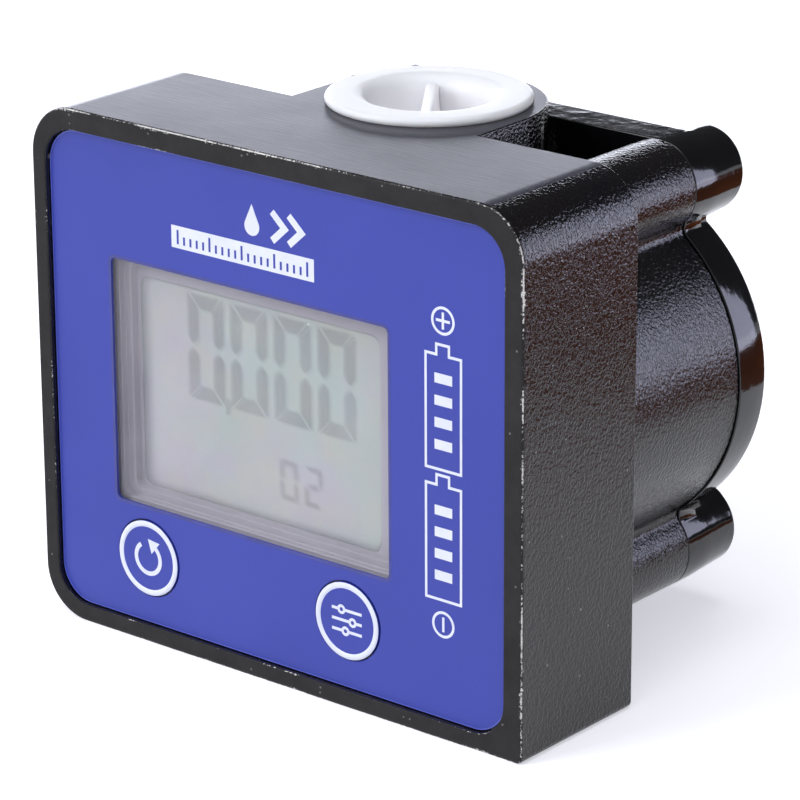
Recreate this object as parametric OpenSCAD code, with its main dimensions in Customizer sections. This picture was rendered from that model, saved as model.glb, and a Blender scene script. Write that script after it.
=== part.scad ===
// Digital in-line flow meter with two oval gears and a battery display.
// Origin: centre of the inlet port's mouth, underneath, with +Z along the flow and the display facing -Y.

/* [Window and label] */
// Width of the display window
window_w = 47.2; // [44:0.2:50]
// Radius of the window's corners
window_corner_r = 1; // [0.5:0.5:3]
// Distance from the box's left side to the window
window_margin = 13; // [12:0.2:15]
// Height of the box below the window, and above it
window_z = 19.1; // [18.4:0.1:20]
// Thickness of the printed label
label_t = 0.5; // [0.3:0.1:0.8]
// Depth of the label's face below the rim
label_sink = 0.8; // [0.4:0.1:1.5]
// Radius of the label's corners
label_corner_r = 5; // [3:0.5:6]
// Gap between the label and the rim
label_gap = 0.15; // [0.05:0.05:0.3]
// Thickness of the clear pane behind the label
pane_t = 1; // [0.6:0.1:1.2]

/* [Front box] */
// Depth of the front box
box_d = 23.1; // [22:0.1:27]
// Radius of the three rounded corners
box_corner_r = 7; // [4:0.5:8]
// Radius of the corner beside the battery bay
bay_corner_r = 1; // [0.5:0.5:3]
// Rim width at the left of the label
rim_left = 2.4; // [1.8:0.1:3]
// Rim width at the right of the label
rim_right = 3; // [2:0.1:4]
// Rim width above the label
rim_top = 2.9; // [2:0.1:3.4]
// Rim width below the label
rim_bottom = 2.4; // [1.8:0.1:2.8]
// Wall between the electronics and the back of the box
box_back_wall = 2; // [1.5:0.1:3]
// Side wall at the left of the electronics
box_side_wall = 7.5; // [7:0.1:9]
// Wall under the electronics
box_floor = 7.2; // [7:0.1:7.6]
// Wall above the electronics
box_roof = 8; // [7.5:0.1:10]

/* [Keys] */
// Diameter of a key
key_d = 10.5; // [9:0.1:10.8]
// Height of the keys' centres above the underside
key_z = 11.8; // [11.4:0.1:12]
// How far the left key's centre lies inside the window's left edge
reset_inset = 5.5; // [4:0.1:7]
// How far the right key's centre lies inside the window's right edge
cal_inset = 7; // [6:0.1:9]
// How far a key presses in
key_travel = 0.4; // [0.2:0.05:0.5]
// How far a key stands proud of the label
key_proud = 0.15; // [0:0.05:0.3]
// Gap round a key
key_gap = 0.2; // [0.1:0.05:0.3]

/* [Display] */
// Thickness of the panel behind the label
panel_t = 2; // [1.8:0.1:2.6]
// Width of the panel's lap round the electronics opening
panel_lap = 4; // [3.8:0.1:4.2]
// Thickness of the panel's gasket
gasket_t = 0.8; // [0.5:0.1:1.2]
// Width of the lip that the display cell bears on
lip_w = 1.2; // [0.8:0.1:2]
// Thickness of that lip
lip_t = 1.1; // [0.8:0.1:1.6]
// Thickness of the display cell
lcd_t = 2.8; // [2:0.1:3.2]
// Depth of the rubber contact strips
strip_t = 2; // [1.5:0.1:3]
// Thickness of the circuit board
board_t = 1.6; // [1:0.1:2]

/* [Batteries] */
// Diameter of a cell
cell_d = 11.8; // [11:0.1:12.4]
// Length of a cell with its terminal
cell_l = 29.8; // [29:0.1:31]
// Length of the battery cap
cap_l = 6; // [5.6:0.1:8]
// How far the battery cap's edge stands out past a cell
cap_step = 1.3; // [1.1:0.1:1.6]
// Wall between the battery cap's bore and the electronics
bay_wall = 1.5; // [1.2:0.1:3]
// Wall above the battery bay
bay_roof = 4.7; // [3:0.1:8]
// Wall in front of the battery cap's bore
bay_front = 4.5; // [4.2:0.1:5]

/* [Measuring chamber] */
// Distance between the two gear axes
gear_spacing = 28.8; // [28:0.2:31]
// How far the gears' outline swells and shrinks about its mean radius
gear_swell = 2.75; // [2:0.05:3.2]
// Thickness of a gear
gear_t = 20; // [16:0.5:22]
// Number of teeth on a gear
gear_teeth = 26; // [20:2:32]
// Depth of a tooth
tooth_h = 1.8; // [1:0.1:2.2]
// Running gap beside the gears' faces
gear_end_gap = 0.2; // [0.1:0.05:0.4]
// Running gap between a gear and the chamber's wall
gear_tip_gap = 0.25; // [0.15:0.05:0.5]
// Gap between the two gears
gear_mesh_gap = 0.4; // [0.3:0.05:0.8]
// Diameter of a gear's shaft
shaft_d = 6; // [4:0.5:8]
// Radial running clearance of a gear on its shaft
shaft_clearance = 0.05; // [0.02:0.01:0.08]
// Wall of the chamber round the gears
chamber_wall = 7.1; // [5:0.1:8.5]

/* [Rear cover] */
// Thickness of the rear cover
cover_t = 6.3; // [5:0.1:7]
// Length of the cover's and the ears' straight sides, from the joint to where they draw in
straight_l = 3.6; // [2:0.1:4.5]
// How much smaller the cover's side arcs are at its rear face
cover_draft = 0.2; // [0:0.1:0.4]
// How far the cover stands proud round the chamber
cover_lap = 0.6; // [0:0.1:1]
// Rounding of the cover's rear edge
cover_edge_r = 0.8; // [0.6:0.1:1.2]
// Height of the raised field on the cover
field_h = 1.2; // [0.6:0.1:2]
// Radius of the screw lugs
lug_r = 6.2; // [5.8:0.1:7]
// How far the lugs lie outside the gear axes
lug_out = 10.7; // [9:0.1:12]
// How far the lugs' centres lie beyond the side arcs' radius
lug_rise_extra = 0.9; // [0:0.1:2]
// How far the upper lugs lie below the top of the box
lug_drop = 4.5; // [4:0.1:6]
// Length of a lug's ear behind the joint
ear_l = 11.6; // [10:0.1:12]
// How much smaller an ear's radius is at its rear end
ear_draft = 0.4; // [0:0.1:0.6]
// Rounding of an ear's rear edge
ear_edge_r = 0.8; // [0.4:0.1:1.2]
// Radius of the hollow between a lug and the side arc
neck_r = 1.5; // [1:0.1:3]
// Width of the chamber seal
seal_w = 1.3; // [1:0.1:1.5]
// Diameter of the cover's screws
screw_d = 5; // [4:0.5:5]

/* [Ports] */
// Radius of a port's bore
port_r = 9.3; // [8:0.05:9.8]
// Depth of a port's bore
port_depth = 14; // [12:0.5:15]
// Radius of the port tower
tower_r = 15.6; // [14.5:0.1:16.4]
// Distance from the tower's round back to the cover's joint
tower_land = 0.9; // [0.5:0.1:2]
// Distance from the box's back to the port axis
port_behind = 9.4; // [9.2:0.1:11]
// Radius of the passages from the ports to the gears
passage_r = 4.5; // [3.5:0.1:5]
// Diameter of the port cap's flange
cap_flange_d = 27.5; // [24:0.5:29]
// Thickness of the port cap's flange
cap_flange_t = 1.2; // [0.8:0.1:2]
// Length of the port cap's plug
cap_plug_l = 7.5; // [6:0.5:10]
// Diameter of the recess in the port cap
cap_recess_d = 15.4; // [12:0.1:15.6]
// Thickness of the port cap's cross rib
cap_rib_t = 2; // [1:0.1:3]

/* [Hidden] */

$fn = 96;
// Overrun of every cut past the face that it opens
cut = 0.5;

// Small fixed sizes that several pieces share
fit_gap = 0.1;
slide_gap = 0.3;
thread_gap = 0.05;

// Battery stack, from the underside upwards
spring_seat_z = 2.5;
spring_rise = 0.3;
contact_t = 0.4;
insulator_t = 1;
cell_bottom_z = cap_l + spring_rise;
cell_joint_z = cell_bottom_z + cell_l;
cell_top_z = cell_joint_z + cell_l;
bay_top_z = cell_top_z + contact_t + insulator_t;
bay_r = cell_d / 2 + slide_gap + fit_gap;
cap_d = cell_d + 2 * cap_step;
cap_bore_r = cap_d / 2 + slide_gap;
bay_side_wall = 3;
cap_bore_z = cap_l + spring_rise / 2;

// Display stack and the box's outer sizes
lcd_side = 1;
lcd_end = 1.7;
skirt_wall = 1;
box_h = bay_top_z + bay_roof;
window_h = box_h - 2 * window_z;
lcd_w = window_w + 2 * lcd_side;
lcd_h = window_h + 2 * lcd_end;
cavity_reach = lcd_side + fit_gap + skirt_wall + slide_gap;
box_w = window_margin + window_w + cavity_reach + bay_wall + 2 * cap_bore_r + bay_side_wall;
left_x = -box_w / 2;
right_x = box_w / 2;
box_rear_y = -port_behind;
front_y = box_rear_y - box_d;

window_x0 = left_x + window_margin;
window_x1 = window_x0 + window_w;
window_x = (window_x0 + window_x1) / 2;
window_z1 = window_z + window_h;
window_mid_z = (window_z + window_z1) / 2;

label_y = front_y + label_sink;
seat_y = label_y + label_t;
panel_back_y = seat_y + panel_t;
ledge_y = panel_back_y + gasket_t;
lcd_y = panel_back_y + lip_t;
strip_y = lcd_y + lcd_t;
board_y = strip_y + strip_t;
board_back_y = board_y + board_t;
cavity_back_y = box_rear_y - box_back_wall;

cavity_x0 = left_x + box_side_wall;
cavity_x1 = window_x1 + cavity_reach;
cavity_z0 = box_floor;
cavity_z1 = box_h - box_roof;
bay_x = cavity_x1 + bay_wall + cap_bore_r;
bay_y = front_y + bay_front + cap_bore_r;

reset_x = window_x0 + reset_inset;
cal_x = window_x1 - cal_inset;
key_r = key_d / 2;

// Panel and board details
panel_corner_r = 3;
panel_gap = 0.2;
panel_screw_inset = 1.9;
panel_screw_r = 1;
panel_screw_head_r = 1.7;
panel_screw_head_h = 1;
panel_screw_l = 3;
well_gap = 0.4;
pane_lap = 1;
post_r = 2.2;
post_hole_r = 0.85;
board_gap = 0.8;
board_screw_r = 0.8;
board_screw_head_r = 1.8;
board_screw_head_h = 1.3;
board_screw_l = 5.5;
board_hole_r = 1.1;
post_z_high = cavity_z1 - post_r * 2;
post_x_low = (reset_x + cal_x) / 2;
post_x_side = window_w / 2 - post_r * 2;

// Keys and switches
key_well = key_travel + slide_gap;
stem_r = 3;
switch_w = 6;
switch_h = 3.4;
plunger_r = 1.5;
plunger_h = 0.9;
plunger_sink = 0.8;
switch_hole_depth = plunger_sink + key_travel + slide_gap;

// Board parts
chip_w = 10;
chip_t = 1.4;
chip_x = window_x + chip_w / 2;
capacitor_x = chip_x + chip_w;
crystal_w = 11;
crystal_h = 4.6;
crystal_t = 3.5;
capacitor_w = 2.2;
capacitor_h = 1.4;
capacitor_t = 1.2;
capacitor_count = 4;
reed_r = 1.1;
reed_l = 10;
reed_lead_r = 0.3;
reed_lead_out = 1.5;

// Gears and chamber
gear_x = gear_spacing / 2;
gear_mean_r = (gear_spacing - gear_mesh_gap) / 2;
chamber_r = gear_mean_r + gear_swell + gear_tip_gap;
shaft_r = shaft_d / 2;
shaft_sink = 2.4;
magnet_r = 2;
magnet_t = 3;
magnet_reach = 9;
arc_r = chamber_r + chamber_wall;
lug_x = gear_x + lug_out;
lug_rise = arc_r + lug_rise_extra;
chamber_z = box_h - lug_drop - lug_r - lug_rise;
seam_y = tower_r + tower_land;
cover_back_y = seam_y + cover_t;
ear_back_y = seam_y + ear_l;
chamber_depth = gear_t + 2 * gear_end_gap;
chamber_y = seam_y - chamber_depth;
gear_y = chamber_y + gear_end_gap;
seal_land = 0.5;
seal_t = 1.1;
seal_r0 = chamber_r + seal_land;
seal_r1 = seal_r0 + seal_w;
field_r = seal_r1;

// Ports
outlet_z = box_h;
passage_y = port_r - passage_r - fit_gap;
passage_reach = chamber_r / 2;

// Cover screws
screw_r = screw_d / 2;
screw_head_share = 1.7;
screw_hex_share = 0.92;
screw_head_r = screw_r * screw_head_share;
screw_head_h = screw_d;
screw_hex_r = screw_r * screw_hex_share;
screw_hex_h = screw_d / 2;
screw_hole_gap = 0.25;
screw_head_sink = 0.3;
screw_head_gap = 0.35;
screw_grip = 9.6;
screw_end_room = 1;

// Port cap
cap_floor = 1.3;
cap_plug_r = port_r - slide_gap;
cap_mouth = 1.2;
cap_rib_drop = 0.6;
cap_rib_angle = 126;

// Battery parts
cap_slot_w = 1.8;
cap_slot_h = 1;
cap_seal_w = 0.9;
cap_seal_z = 1.2;
cap_seal_h = 1;
spring_recess_r = 4.6;
spring_r = 3.6;
spring_wire_r = 0.4;
spring_turns = 3;
spring_steps = 20;
spring_sides = 6;
terminal_r = 2.4;
terminal_h = 0.8;
strip_w = 3;
contact_inset = 0.4;
contact_r = cell_d / 2 - contact_inset;
slot_gap = 0.5;
tab_drop = 3.9;
tab_reach = 2;
tab_x = bay_x - bay_r - bay_wall;

// Draws an X-Z outline as a slab between two places along Y
module slab(y0, y1)
    translate([0, y1, 0]) rotate([90, 0, 0]) linear_extrude(y1 - y0) children();

// Round bar along Y
module bar(x, z, y0, y1, r)
    translate([x, y1, z]) rotate([90, 0, 0]) cylinder(r = r, h = y1 - y0);

// Rectangle between two corners, with a radius for each corner from lower left round to upper left
module round_rect(x0, z0, x1, z1, radii) {
    centres = [
        [x0 + radii[0], z0 + radii[0]], [x1 - radii[1], z0 + radii[1]],
        [x1 - radii[2], z1 - radii[2]], [x0 + radii[3], z1 - radii[3]]
    ];
    polygon([
        [x0 + radii[0], z0], [x1 - radii[1], z0], [x1, z0 + radii[1]], [x1, z1 - radii[2]],
        [x1 - radii[2], z1], [x0 + radii[3], z1], [x0, z1 - radii[3]], [x0, z0 + radii[0]]
    ]);
    for (i = [0:3])
        translate(centres[i]) circle(r = radii[i]);
}

function same(r) = [r, r, r, r];

// Repeats a shape drawn in the upper right quarter in all four, about the chamber's centre
module four_ways()
    translate([0, chamber_z])
        for (i = [0, 1])
            mirror([i, 0])
                for (j = [0, 1])
                    mirror([0, j])
                        children();

module gear_pair_circles(r)
    for (side = [-1, 1])
        translate([side * gear_x, chamber_z]) circle(r = r);

// Centre of the round hollow that touches a side arc of radius ra and a lug of radius rb
function neck_centre(ra, rb) =
    let (
        span = sqrt(lug_out * lug_out + lug_rise * lug_rise),
        da = ra + neck_r,
        db = rb + neck_r,
        along = (da * da - db * db + span * span) / (2 * span),
        aside = sqrt(da * da - along * along)
    )
    [
        gear_x + (along * lug_out + aside * lug_rise) / span,
        (along * lug_rise - aside * lug_out) / span
    ];

// Fills the corner between a side arc and a lug, up to the round hollow
module neck(ra, rb) {
    hollow = neck_centre(ra, rb);
    difference() {
        polygon([[gear_x, 0], [lug_x, lug_rise], hollow]);
        translate(hollow) circle(r = neck_r);
    }
}

module chamber_outline(ra) {
    translate([-gear_x, chamber_z - ra]) square([2 * gear_x, 2 * ra]);
    gear_pair_circles(ra);
}

module box_outline()
    round_rect(left_x, 0, right_x, box_h, [box_corner_r, bay_corner_r, box_corner_r, box_corner_r]);

module label_outline(gap)
    round_rect(left_x + rim_left + gap, rim_bottom + gap, right_x - rim_right - gap,
        box_h - rim_top - gap, same(label_corner_r));

module panel_outline(gap)
    round_rect(cavity_x0 - panel_lap - gap, cavity_z0 - panel_lap - gap,
        cavity_x1 + panel_lap + gap, cavity_z1 + panel_lap + gap, same(panel_corner_r));

module cavity_outline()
    translate([cavity_x0, cavity_z0]) square([cavity_x1 - cavity_x0, cavity_z1 - cavity_z0]);

module window_outline(gap)
    round_rect(window_x0 - gap, window_z - gap, window_x1 + gap, window_z1 + gap,
        same(window_corner_r));

module at_panel_screws()
    for (x = [cavity_x0 - panel_lap + panel_screw_inset, cavity_x1 + panel_lap - panel_screw_inset])
        for (z = [cavity_z0 - panel_lap + panel_screw_inset, cavity_z1 + panel_lap - panel_screw_inset])
            translate([x, 0, z]) children();

module at_posts() {
    translate([window_x - post_x_side, 0, post_z_high]) children();
    translate([window_x + post_x_side, 0, post_z_high]) children();
    translate([post_x_low, 0, key_z]) children();
}

module at_lugs()
    for (side = [-1, 1])
        for (level = [-1, 1])
            translate([side * lug_x, 0, chamber_z + level * lug_rise]) children();

// U-shaped tower that carries both ports
module tower()
    linear_extrude(box_h) {
        translate([-tower_r, box_rear_y - cut]) square([2 * tower_r, port_behind + cut]);
        circle(r = tower_r);
    }

module body_solid() {
    slab(front_y, box_rear_y) box_outline();
    slab(box_rear_y - cut, seam_y) {
        chamber_outline(arc_r);
        four_ways() {
            translate([lug_x, lug_rise]) circle(r = lug_r);
            neck(arc_r, lug_r);
        }
    }
    tower();
}

module body_cuts() {
    slab(front_y - cut, seat_y) label_outline(0);
    slab(seat_y - cut, ledge_y) panel_outline(panel_gap);
    slab(ledge_y - cut, cavity_back_y) cavity_outline();
    at_panel_screws() bar(0, 0, ledge_y - cut, ledge_y + panel_screw_l, panel_screw_r + thread_gap);

    slab(chamber_y, seam_y + cut) gear_pair_circles(chamber_r);
    for (side = [-1, 1])
        bar(side * gear_x, chamber_z, chamber_y - shaft_sink, seam_y, shaft_r + thread_gap);
    at_lugs() bar(0, 0, seam_y - screw_grip - screw_end_room, seam_y + cut, screw_r + thread_gap);

    translate([0, 0, -cut]) cylinder(r = port_r, h = port_depth + cut);
    translate([0, 0, outlet_z - port_depth]) cylinder(r = port_r, h = port_depth + cut);
    translate([0, passage_y, port_depth - cut])
        cylinder(r = passage_r, h = chamber_z - passage_reach - port_depth + cut);
    translate([0, passage_y, chamber_z + passage_reach])
        cylinder(r = passage_r, h = outlet_z - port_depth + cut - chamber_z - passage_reach);

    translate([bay_x, bay_y, -cut]) cylinder(r = cap_bore_r, h = cap_bore_z + cut);
    translate([bay_x, bay_y, 0]) cylinder(r = bay_r, h = bay_top_z);
    translate([cavity_x1 - cut, board_back_y - slot_gap, cell_top_z - tab_drop - slot_gap])
        cube([
            bay_x - cavity_x1 + cut, strip_w + 2 * slot_gap,
            tab_drop + contact_t + 2 * slot_gap
        ]);
}

module meter_body()
    color("#1d1c1e") difference() {
        body_solid();
        body_cuts();
    }

// Disc standing along Y, with draft behind its straight side and with its rear edge rounded
module drafted_disc(x, z, y0, y1, r, straight, draft, edge)
    translate([x, y0, z]) rotate([-90, 0, 0]) rotate_extrude() {
        l = y1 - y0;
        end_r = r - draft;
        polygon([[0, 0], [r, 0], [r, straight], [end_r, l - edge], [0, l - edge]]);
        square([end_r - edge, l]);
        translate([end_r - edge, l - edge]) circle(r = edge, $fn = 48);
    }

module cover_plate() {
    edge = cover_edge_r;
    field_edge = 1.1;
    slab(seam_y, cover_back_y) chamber_outline(arc_r - edge);
    slab(seam_y, seam_y + straight_l) four_ways() neck(arc_r + cover_lap, lug_r);
    slab(seam_y, cover_back_y - edge)
        four_ways() neck(arc_r + cover_lap - cover_draft, lug_r - ear_draft);
    slab(seam_y, cover_back_y - edge)
        translate([-lug_x, chamber_z - lug_rise - lug_r])
            square([2 * lug_x, 2 * (lug_rise + lug_r)]);
    slab(seam_y, cover_back_y)
        translate([-lug_x, chamber_z - lug_rise - lug_r + edge])
            square([2 * lug_x, 2 * (lug_rise + lug_r - edge)]);
    for (level = [-1, 1])
        translate([-lug_x, cover_back_y - edge, chamber_z + level * (lug_rise + lug_r - edge)])
            rotate([0, 90, 0]) cylinder(r = edge, h = 2 * lug_x, $fn = 48);
    for (side = [-1, 1])
        drafted_disc(
            side * gear_x, chamber_z, seam_y, cover_back_y,
            arc_r + cover_lap, straight_l, cover_draft, edge
        );
    at_lugs() drafted_disc(0, 0, seam_y, ear_back_y, lug_r, straight_l, ear_draft, ear_edge_r);
    for (side = [-1, 1])
        drafted_disc(
            side * gear_x, chamber_z, cover_back_y - edge, cover_back_y + field_h,
            field_r, edge / 2, 0, field_edge
        );
    slab(cover_back_y - edge, cover_back_y + field_h - field_edge)
        translate([-gear_x, chamber_z - field_r]) square([2 * gear_x, 2 * field_r]);
    slab(cover_back_y - edge, cover_back_y + field_h)
        translate([-gear_x, chamber_z - field_r + field_edge])
            square([2 * gear_x, 2 * (field_r - field_edge)]);
}

module rear_cover()
    color("#101012") difference() {
        cover_plate();
        slab(seam_y - cut, seam_y + seal_t) difference() {
            gear_pair_circles(seal_r1);
            gear_pair_circles(seal_r0);
        }
        for (side = [-1, 1])
            bar(side * gear_x, chamber_z, seam_y - cut, seam_y + shaft_sink, shaft_r + thread_gap);
        at_lugs() {
            bar(0, 0, seam_y - cut, ear_back_y + cut, screw_r + screw_hole_gap);
            bar(0, 0, ear_back_y - screw_head_h - screw_head_sink, ear_back_y + cut,
                screw_head_r + screw_head_gap);
        }
    }

module cover_screws()
    color("silver") at_lugs() {
        under_head_y = ear_back_y - screw_head_h - screw_head_sink;
        bar(0, 0, seam_y - screw_grip, under_head_y + cut, screw_r);
        difference() {
            bar(0, 0, under_head_y, under_head_y + screw_head_h, screw_head_r);
            translate([0, under_head_y + screw_head_h + cut, 0]) rotate([90, 0, 0])
                cylinder(r = screw_hex_r, h = screw_hex_h + cut, $fn = 6);
        }
    }

module chamber_seal()
    color("#202022") slab(seam_y, seam_y + seal_t) difference() {
        gear_pair_circles(seal_r1);
        gear_pair_circles(seal_r0);
    }

module gear_shafts()
    color("silver")
        for (side = [-1, 1])
            bar(side * gear_x, chamber_z, chamber_y - shaft_sink, seam_y + shaft_sink, shaft_r);

// Oval outline whose two halves roll past each other at equal speed, with teeth cut inside it
function oval_r(a, phase) = gear_mean_r + gear_swell * cos(2 * (a - phase));

function oval_teeth(phase) = [
    for (i = [0:gear_teeth - 1])
        for (k = [0:3])
            let (
                pitch = 360 / gear_teeth,
                step_shares = [0.04, 0.46, 0.6, 0.9],
                a = (i + step_shares[k]) * pitch,
                r = oval_r(a, phase) - (k > 1 ? tooth_h : 0)
            )
            [r * cos(a), r * sin(a)]
];

module oval_gear(side, phase)
    difference() {
        slab(gear_y, gear_y + gear_t)
            translate([side * gear_x, chamber_z]) polygon(oval_teeth(phase));
        bar(side * gear_x, chamber_z, gear_y - cut, gear_y + gear_t + cut, shaft_r + shaft_clearance);
    }

module at_magnets()
    for (level = [-1, 1])
        translate([-gear_x, 0, chamber_z + level * magnet_reach]) children();

module left_oval_gear()
    color("#2b2f33") difference() {
        oval_gear(-1, 90);
        at_magnets() bar(0, 0, gear_y - cut, gear_y + magnet_t, magnet_r + thread_gap);
    }

module right_oval_gear()
    color("#2b2f33") oval_gear(1, 0);

module gear_magnets()
    color("#9a9ca0") at_magnets() bar(0, 0, gear_y, gear_y + magnet_t, magnet_r);

module face_label()
    color("#4c56b6") slab(label_y, seat_y) difference() {
        label_outline(label_gap);
        window_outline(0);
        for (x = [reset_x, cal_x])
            translate([x, key_z]) circle(r = key_r + key_gap);
    }

module window_pane()
    color([0.85, 0.9, 0.9, 0.35])
        slab(seat_y, seat_y + pane_t) window_outline(pane_lap - fit_gap);

module display_panel()
    color("#97929b") difference() {
        union() {
            slab(seat_y, panel_back_y) panel_outline(0);
            slab(panel_back_y - cut, board_y)
                translate([
                    window_x - lcd_w / 2 - fit_gap - skirt_wall,
                    window_mid_z - lcd_h / 2 - fit_gap - skirt_wall
                ])
                    square([
                        lcd_w + 2 * (fit_gap + skirt_wall), lcd_h + 2 * (fit_gap + skirt_wall)
                    ]);
            at_posts() bar(0, 0, panel_back_y - cut, board_y, post_r);
        }
        slab(seat_y - cut, seat_y + pane_t) window_outline(pane_lap);
        slab(seat_y, panel_back_y) window_outline(well_gap);
        slab(seat_y, board_y) window_outline(-lip_w);
        slab(lcd_y, board_y + cut)
            translate([window_x - lcd_w / 2 - fit_gap, window_mid_z - lcd_h / 2 - fit_gap])
                square([lcd_w + 2 * fit_gap, lcd_h + 2 * fit_gap]);
        at_posts() bar(0, 0, lcd_y, board_y + cut, post_hole_r);
        for (x = [reset_x, cal_x]) {
            bar(x, key_z, seat_y - cut, seat_y + key_well, key_r + key_gap);
            bar(x, key_z, seat_y, panel_back_y + cut, stem_r + slide_gap);
        }
        at_panel_screws() {
            bar(0, 0, seat_y - cut, seat_y + panel_screw_head_h, panel_screw_head_r + fit_gap);
            bar(0, 0, seat_y, panel_back_y + cut, panel_screw_r + fit_gap);
        }
    }

module panel_gasket()
    color("#3a3a3c") difference() {
        slab(panel_back_y, ledge_y) difference() {
            panel_outline(0);
            cavity_outline();
        }
        at_panel_screws() bar(0, 0, panel_back_y - cut, ledge_y + cut, panel_screw_r + fit_gap);
    }

module panel_screws()
    color("silver") at_panel_screws() difference() {
        union() {
            bar(0, 0, seat_y, seat_y + panel_screw_head_h, panel_screw_head_r);
            bar(0, 0, seat_y + panel_screw_head_h - fit_gap, ledge_y + panel_screw_l - fit_gap,
                panel_screw_r);
        }
        translate([
            -panel_screw_head_r, seat_y - cut, -panel_screw_head_h / 4
        ])
            cube([2 * panel_screw_head_r, cut + panel_screw_head_h / 2, panel_screw_head_h / 2]);
    }

module lcd_cell()
    color("#b9beb9") slab(lcd_y, strip_y)
        translate([window_x - lcd_w / 2, window_mid_z - lcd_h / 2]) square([lcd_w, lcd_h]);

module contact_strips()
    color("#b8848c")
        for (level = [-1, 1])
            slab(strip_y, board_y)
                translate([
                    window_x - lcd_w / 2 + skirt_wall,
                    window_mid_z + level * (lcd_h - strip_t) / 2 - strip_t / 2
                ])
                    square([lcd_w - 2 * skirt_wall, strip_t]);

module circuit_board()
    color("#1f6b3f") difference() {
        slab(board_y, board_back_y)
            translate([cavity_x0 + board_gap, cavity_z0 + board_gap])
                square([
                    cavity_x1 - cavity_x0 - 2 * board_gap, cavity_z1 - cavity_z0 - 2 * board_gap
                ]);
        at_posts() bar(0, 0, board_y - cut, board_back_y + cut, board_hole_r);
    }

module board_screws()
    color("silver") at_posts() difference() {
        union() {
            bar(0, 0, board_back_y - board_screw_l, board_back_y + fit_gap, board_screw_r);
            bar(0, 0, board_back_y, board_back_y + board_screw_head_h, board_screw_head_r);
        }
        translate([
            -board_screw_head_r, board_back_y + board_screw_head_h / 2, -board_screw_head_h / 6
        ])
            cube([2 * board_screw_head_r, board_screw_head_h, board_screw_head_h / 3]);
    }

// A part that stands on the board's back
module on_board(x, z, w, h, t)
    translate([x - w / 2, board_back_y, z - h / 2]) cube([w, t, h]);

module controller_chip()
    color("#1a1a1c") on_board(chip_x, window_mid_z, chip_w, chip_w, chip_t);

module quartz_crystal()
    color("#c8c8c4") on_board(chip_x, window_mid_z + chip_w, crystal_w, crystal_h, crystal_t);

module board_capacitors()
    color("#b09468")
        for (i = [0:capacitor_count - 1])
            on_board(capacitor_x, window_mid_z + (i - capacitor_count / 2) * capacitor_w * 2,
                capacitor_w, capacitor_h, capacitor_t);

module reed_switches()
    color("#9fb0a4")
        for (level = [-1, 1])
            translate([-gear_x, cavity_back_y - reed_r - fit_gap, chamber_z + level * magnet_reach]) {
                translate([-reed_l / 2, 0, 0]) rotate([0, 90, 0]) cylinder(r = reed_r, h = reed_l);
                translate([-reed_l / 2 - reed_lead_out, 0, 0]) rotate([0, 90, 0])
                    cylinder(r = reed_lead_r, h = reed_l + 2 * reed_lead_out);
                for (end = [-1, 1])
                    bar(end * (reed_l / 2 + reed_lead_out - reed_lead_r), 0,
                        board_back_y - cavity_back_y + reed_r + fit_gap, reed_lead_r, reed_lead_r);
            }

module key_switches()
    color("#26262a")
        for (x = [reset_x, cal_x])
            difference() {
                translate([x - switch_w / 2, board_y - switch_h, key_z - switch_w / 2])
                    cube([switch_w, switch_h, switch_w]);
                bar(x, key_z, board_y - switch_h - cut, board_y - switch_h + switch_hole_depth,
                    plunger_r + slide_gap);
            }

module key(x) {
    bar(x, key_z, label_y - key_proud, seat_y, key_r);
    bar(x, key_z, seat_y - label_t / 2, board_y - switch_h - plunger_h, stem_r);
}

module plunger(x)
    color("#e8e6e0")
        bar(x, key_z, board_y - switch_h - plunger_h, board_y - switch_h + plunger_sink, plunger_r);

module reset_key()
    color("#4c56b6") key(reset_x);

module reset_plunger()
    plunger(reset_x);

module cal_key()
    color("#4c56b6") key(cal_x);

module cal_plunger()
    plunger(cal_x);

module cell(z)
    translate([bay_x, bay_y, z]) {
        cylinder(r = cell_d / 2, h = cell_l - terminal_h);
        cylinder(r = terminal_r, h = cell_l);
    }

module upper_cell()
    color("#c9a24a") cell(cell_joint_z);

module lower_cell()
    color("#c9a24a") cell(cell_bottom_z);

module battery_contact()
    color("#c8a860") {
        translate([bay_x, bay_y, cell_top_z]) cylinder(r = contact_r, h = contact_t);
        translate([tab_x, board_back_y, cell_top_z]) cube([bay_x - tab_x, strip_w, contact_t]);
        translate([tab_x, board_back_y, cell_top_z - tab_drop])
            cube([contact_t, strip_w, tab_drop + contact_t]);
        translate([cavity_x1 - board_gap - tab_reach, board_back_y, cell_top_z - tab_drop])
            cube([tab_x - cavity_x1 + board_gap + tab_reach + contact_t, strip_w, contact_t]);
    }

module contact_insulator()
    color("#e4e0d4")
        translate([bay_x, bay_y, cell_top_z + contact_t])
            cylinder(r = bay_r - fit_gap, h = insulator_t);

function spring_point(step, side) =
    let (
        turn = 360 * step / spring_steps,
        rise = cell_bottom_z - spring_seat_z - 2 * spring_wire_r,
        share = step / (spring_turns * spring_steps),
        around = 360 * side / spring_sides,
        r = spring_r + spring_wire_r * cos(around)
    )
    [r * cos(turn), r * sin(turn), spring_wire_r + rise * share + spring_wire_r * sin(around)];

// Coil of round wire between the battery cap and the lower cell
module battery_spring() {
    last = spring_turns * spring_steps;
    points = [
        for (step = [0:last])
            for (side = [0:spring_sides - 1])
                spring_point(step, side)
    ];
    skin = [
        for (step = [0:last - 1])
            for (side = [0:spring_sides - 1])
                let (
                    here = step * spring_sides,
                    next = here + spring_sides,
                    beside = (side + 1) % spring_sides
                )
                each [
                    [here + side, next + side, next + beside],
                    [here + side, next + beside, here + beside]
                ]
    ];
    start = [for (side = [0:spring_sides - 1]) side];
    end = [for (side = [spring_sides - 1:-1:0]) last * spring_sides + side];
    color("silver")
        translate([bay_x, bay_y, spring_seat_z])
            polyhedron(points = points, faces = concat(skin, [start], [end]));
}

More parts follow.
